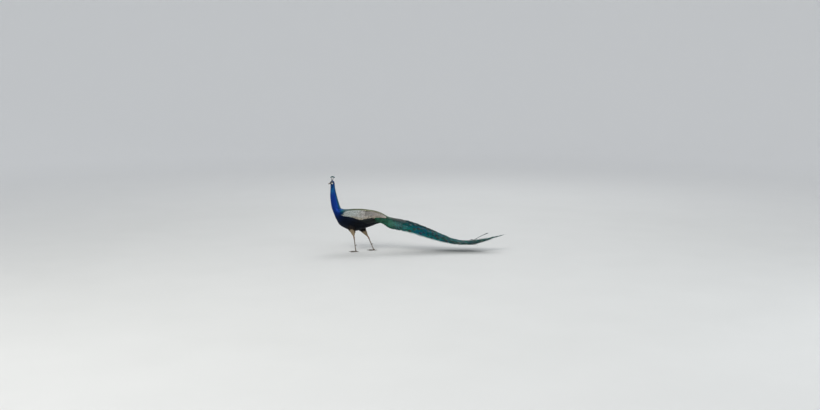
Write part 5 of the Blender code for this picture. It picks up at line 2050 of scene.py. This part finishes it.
def rod():
    """A closed rod whose corners are put in place later."""
    faces = []
    for a in range(0, (SHAFT_STATIONS - 1) * SHAFT_SIDES, SHAFT_SIDES):
        for k in range(SHAFT_SIDES):
            m = (k + 1) % SHAFT_SIDES
            faces.append((a + k, a + m, a + m + SHAFT_SIDES, a + k + SHAFT_SIDES))
    ends = range(SHAFT_SIDES), range((SHAFT_STATIONS - 1) * SHAFT_SIDES, SHAFT_STATIONS * SHAFT_SIDES)
    faces += [tuple(ends[0])[::-1], tuple(ends[1])]
    return Form(np.zeros((SHAFT_SIDES * SHAFT_STATIONS, 3)), faces)


def build_shafts(shafts):
    """Every long feather's shaft: a thin tapered rod of four sides."""
    coat = Coat("train_shafts")
    form = rod()
    share = np.linspace(0, 1, SHAFT_STATIONS)
    turns = np.arange(SHAFT_SIDES) / SHAFT_SIDES
    vane_uv = np.stack((np.tile(turns, SHAFT_STATIONS), np.repeat(share, SHAFT_SIDES)), -1)
    sine, cosine = np.sin(2 * PI * turns)[:, None], np.cos(2 * PI * turns)[:, None]
    for points, normals, length in shafts:
        along = unit(np.gradient(points, axis=0))
        across = unit(np.cross(normals, along))
        up = np.cross(along, across)
        taper = 0.0011 * (1 - 0.72 * share) * (0.7 + 0.3 * length / LONGEST_PLUME)
        body = points[:, None] + (across[:, None] * sine + up[:, None] * cosine) * taper[:, None, None]
        bake = (points[:, 1::-1] - (0, TRAIN_X0)) / TRAIN_MAP + (0.5, 0)
        coat.parts.append(
            dict(
                form=form,
                count=1,
                points=body.reshape(-1, 3),
                vane=vane_uv,
                span=vane_uv * (0.02, length * 10),
                bake=np.repeat(bake, SHAFT_SIDES, 0),
                spread=(vane_uv - 0.5) * 0.003,
                tint=np.broadcast_to(glossy(SHAFT_HORN, 0.0), (len(vane_uv), 4)),
                seed=np.full(len(vane_uv), rng.random()),
            )
        )
    return coat


# --- putting it together ---
CAMERA_AT, CAMERA_DOWN = (-0.089, -11.0, 1.94), 7.34  # metres, and degrees below level
CAMERA_LENS, CAMERA_FILM = 43.46, 36.0  # millimetres
LIT_POINT = Vector((0, 0, 0.35))
LIGHTS = (  # name, place, size, power and colour
    ("key", (-3.5, -6.0, 6.5), 3.5, 330, (1.0, 0.97, 0.92)),
    ("fill", (5.5, -4.5, 3.5), 3.5, 90, (0.94, 0.97, 1.0)),
    ("rim", (1.0, 5.0, 6.5), 4.0, 150, (1.0, 1.0, 1.0)),
)


def camera_and_light():
    """The camera, its three lamps and the pale air round them."""
    scene = bpy.context.scene
    camera = bpy.data.objects.new("camera", bpy.data.cameras.new("camera"))
    camera.data.lens, camera.data.sensor_width, camera.data.clip_end = CAMERA_LENS, CAMERA_FILM, 200.0
    camera.location = CAMERA_AT
    camera.rotation_euler = (math.radians(90 - CAMERA_DOWN), 0, 0)
    scene.collection.objects.link(camera)
    scene.camera = camera
    world = bpy.data.worlds.new("studio")
    world.use_nodes = True
    air = world.node_tree.nodes["Background"].inputs
    air["Color"].default_value, air["Strength"].default_value = (0.94, 0.96, 1.0, 1.0), 0.62
    scene.world = world
    for name, at, size, power, colour in LIGHTS:
        light = bpy.data.lights.new(name, "AREA")
        light.size, light.energy, light.color = size, power, colour
        obj = bpy.data.objects.new(name, light)
        obj.location = at
        obj.rotation_euler = (LIT_POINT - Vector(at)).to_track_quat("-Z", "Y").to_euler()
        scene.collection.objects.link(obj)
    scene.view_settings.view_transform = "Standard"


def studio_floor():
    """A wide pale floor that curves up into a pale wall all round."""
    bm = bmesh.new()
    flat, bend, height, steps = 11.5, 9.0, 13.0, 12
    profile = [(reach, 0.0) for reach in (0.0, 4.0, 8.0, flat)]
    for k in range(1, steps + 1):
        turn = k * PI / 2 / steps
        profile.append((flat + bend * math.sin(turn), bend * (1 - math.cos(turn))))
    profile.append((flat + bend, height))
    verts = [bm.verts.new((reach, 0.0, z - 0.0002)) for reach, z in profile]
    edges = [bm.edges.new(pair) for pair in zip(verts, verts[1:])]
    bmesh.ops.spin(bm, geom=[*verts, *edges], axis=(0, 0, 1), cent=(0, 0, 0), angle=2 * PI, steps=96, use_merge=True)
    bmesh.ops.remove_doubles(bm, verts=bm.verts, dist=1e-5)
    bmesh.ops.recalc_face_normals(bm, faces=bm.faces)
    if sum(f.normal.z for f in bm.faces) < 0:
        bmesh.ops.reverse_faces(bm, faces=bm.faces)
    floor = object_of(bm, "studio_floor")
    made, g, shader = start_finish("floor paint", 0.75)
    at = g.place()
    reach = g.node("ShaderNodeVectorMath", {0: at}, operation="LENGTH").outputs["Value"]
    # Painted light: the floor is painted paler with distance and the wall palest, to make up for the weaker light
    # that reaches them.
    far = g.node("ShaderNodeMapRange", {"Value": reach, "From Min": 4.0, "From Max": 13.0}).outputs[0]
    near_paint = g.blend(g.noise(at, 1.5), (0.63, 0.64, 0.63), (0.67, 0.68, 0.67))
    g.join(g.blend(far, near_paint, (0.88, 0.89, 0.89)), shader.inputs["Base Color"])
    floor.data.materials.append(made)


def main():
    """Every piece in turn, with the solids that it stands for."""
    camera_and_light()
    studio_floor()
    skin = make_skin()
    paint_skin(skin)
    legs = [f"{part}_{side}" for part in ("thigh", "shank", "foot") for side in SIDES]
    place(skin, [*FLESH, *legs])
    for coat, finish in feather_body():
        coat.build(finish, "blue_feathers")
    for part in BILL:
        bill_half(part)
    grow_crest().build(PLUMAGE, "blue_feathers", ["crest"])
    face_bristles().build(FLUFF, "dark_feathers")
    for name in NODES:
        if name.startswith(("claw_", "spur_")):
            horn_cone(name)
    for side in SIDES:
        eye_ball(side)
        barred, lower, dark = feather_wing(side)
        lower.build(EDGED, "flight_feathers")
        barred.build(BARRED, "barred_feathers", [f"wing_{side}_coverts", f"wing_{side}_tertials"])
        dark.build(QUILLS, "flight_feathers", [f"wing_{side}_flight"])
        feather_thigh(side).build(FLUFF, "buff_feathers")
    lines, barbs, web, eyes, fringes = grow_train()
    build_shafts(lines).build(FLUFF, "train_feathers")
    web.build(LOOSE_BARBS, "train_feathers")
    eyes.build(EYED, "train_feathers")
    fringes.build(LOOSE_BARBS, "train_feathers")
    for name, coat in barbs.items():
        strips = ["train_middle"] if name == "middle" else [f"train_{name}_{k}" for k in TRAIN_STRIPS]
        coat.build(LOOSE_BARBS, "train_feathers", strips)
    rump_feathers().build(SCALED, "train_feathers")
    fan, fluff = tail_fan()
    fan.build(QUILLS, "tail_feathers", ["tail"])
    fluff.build(FLUFF, "dark_feathers")


main()
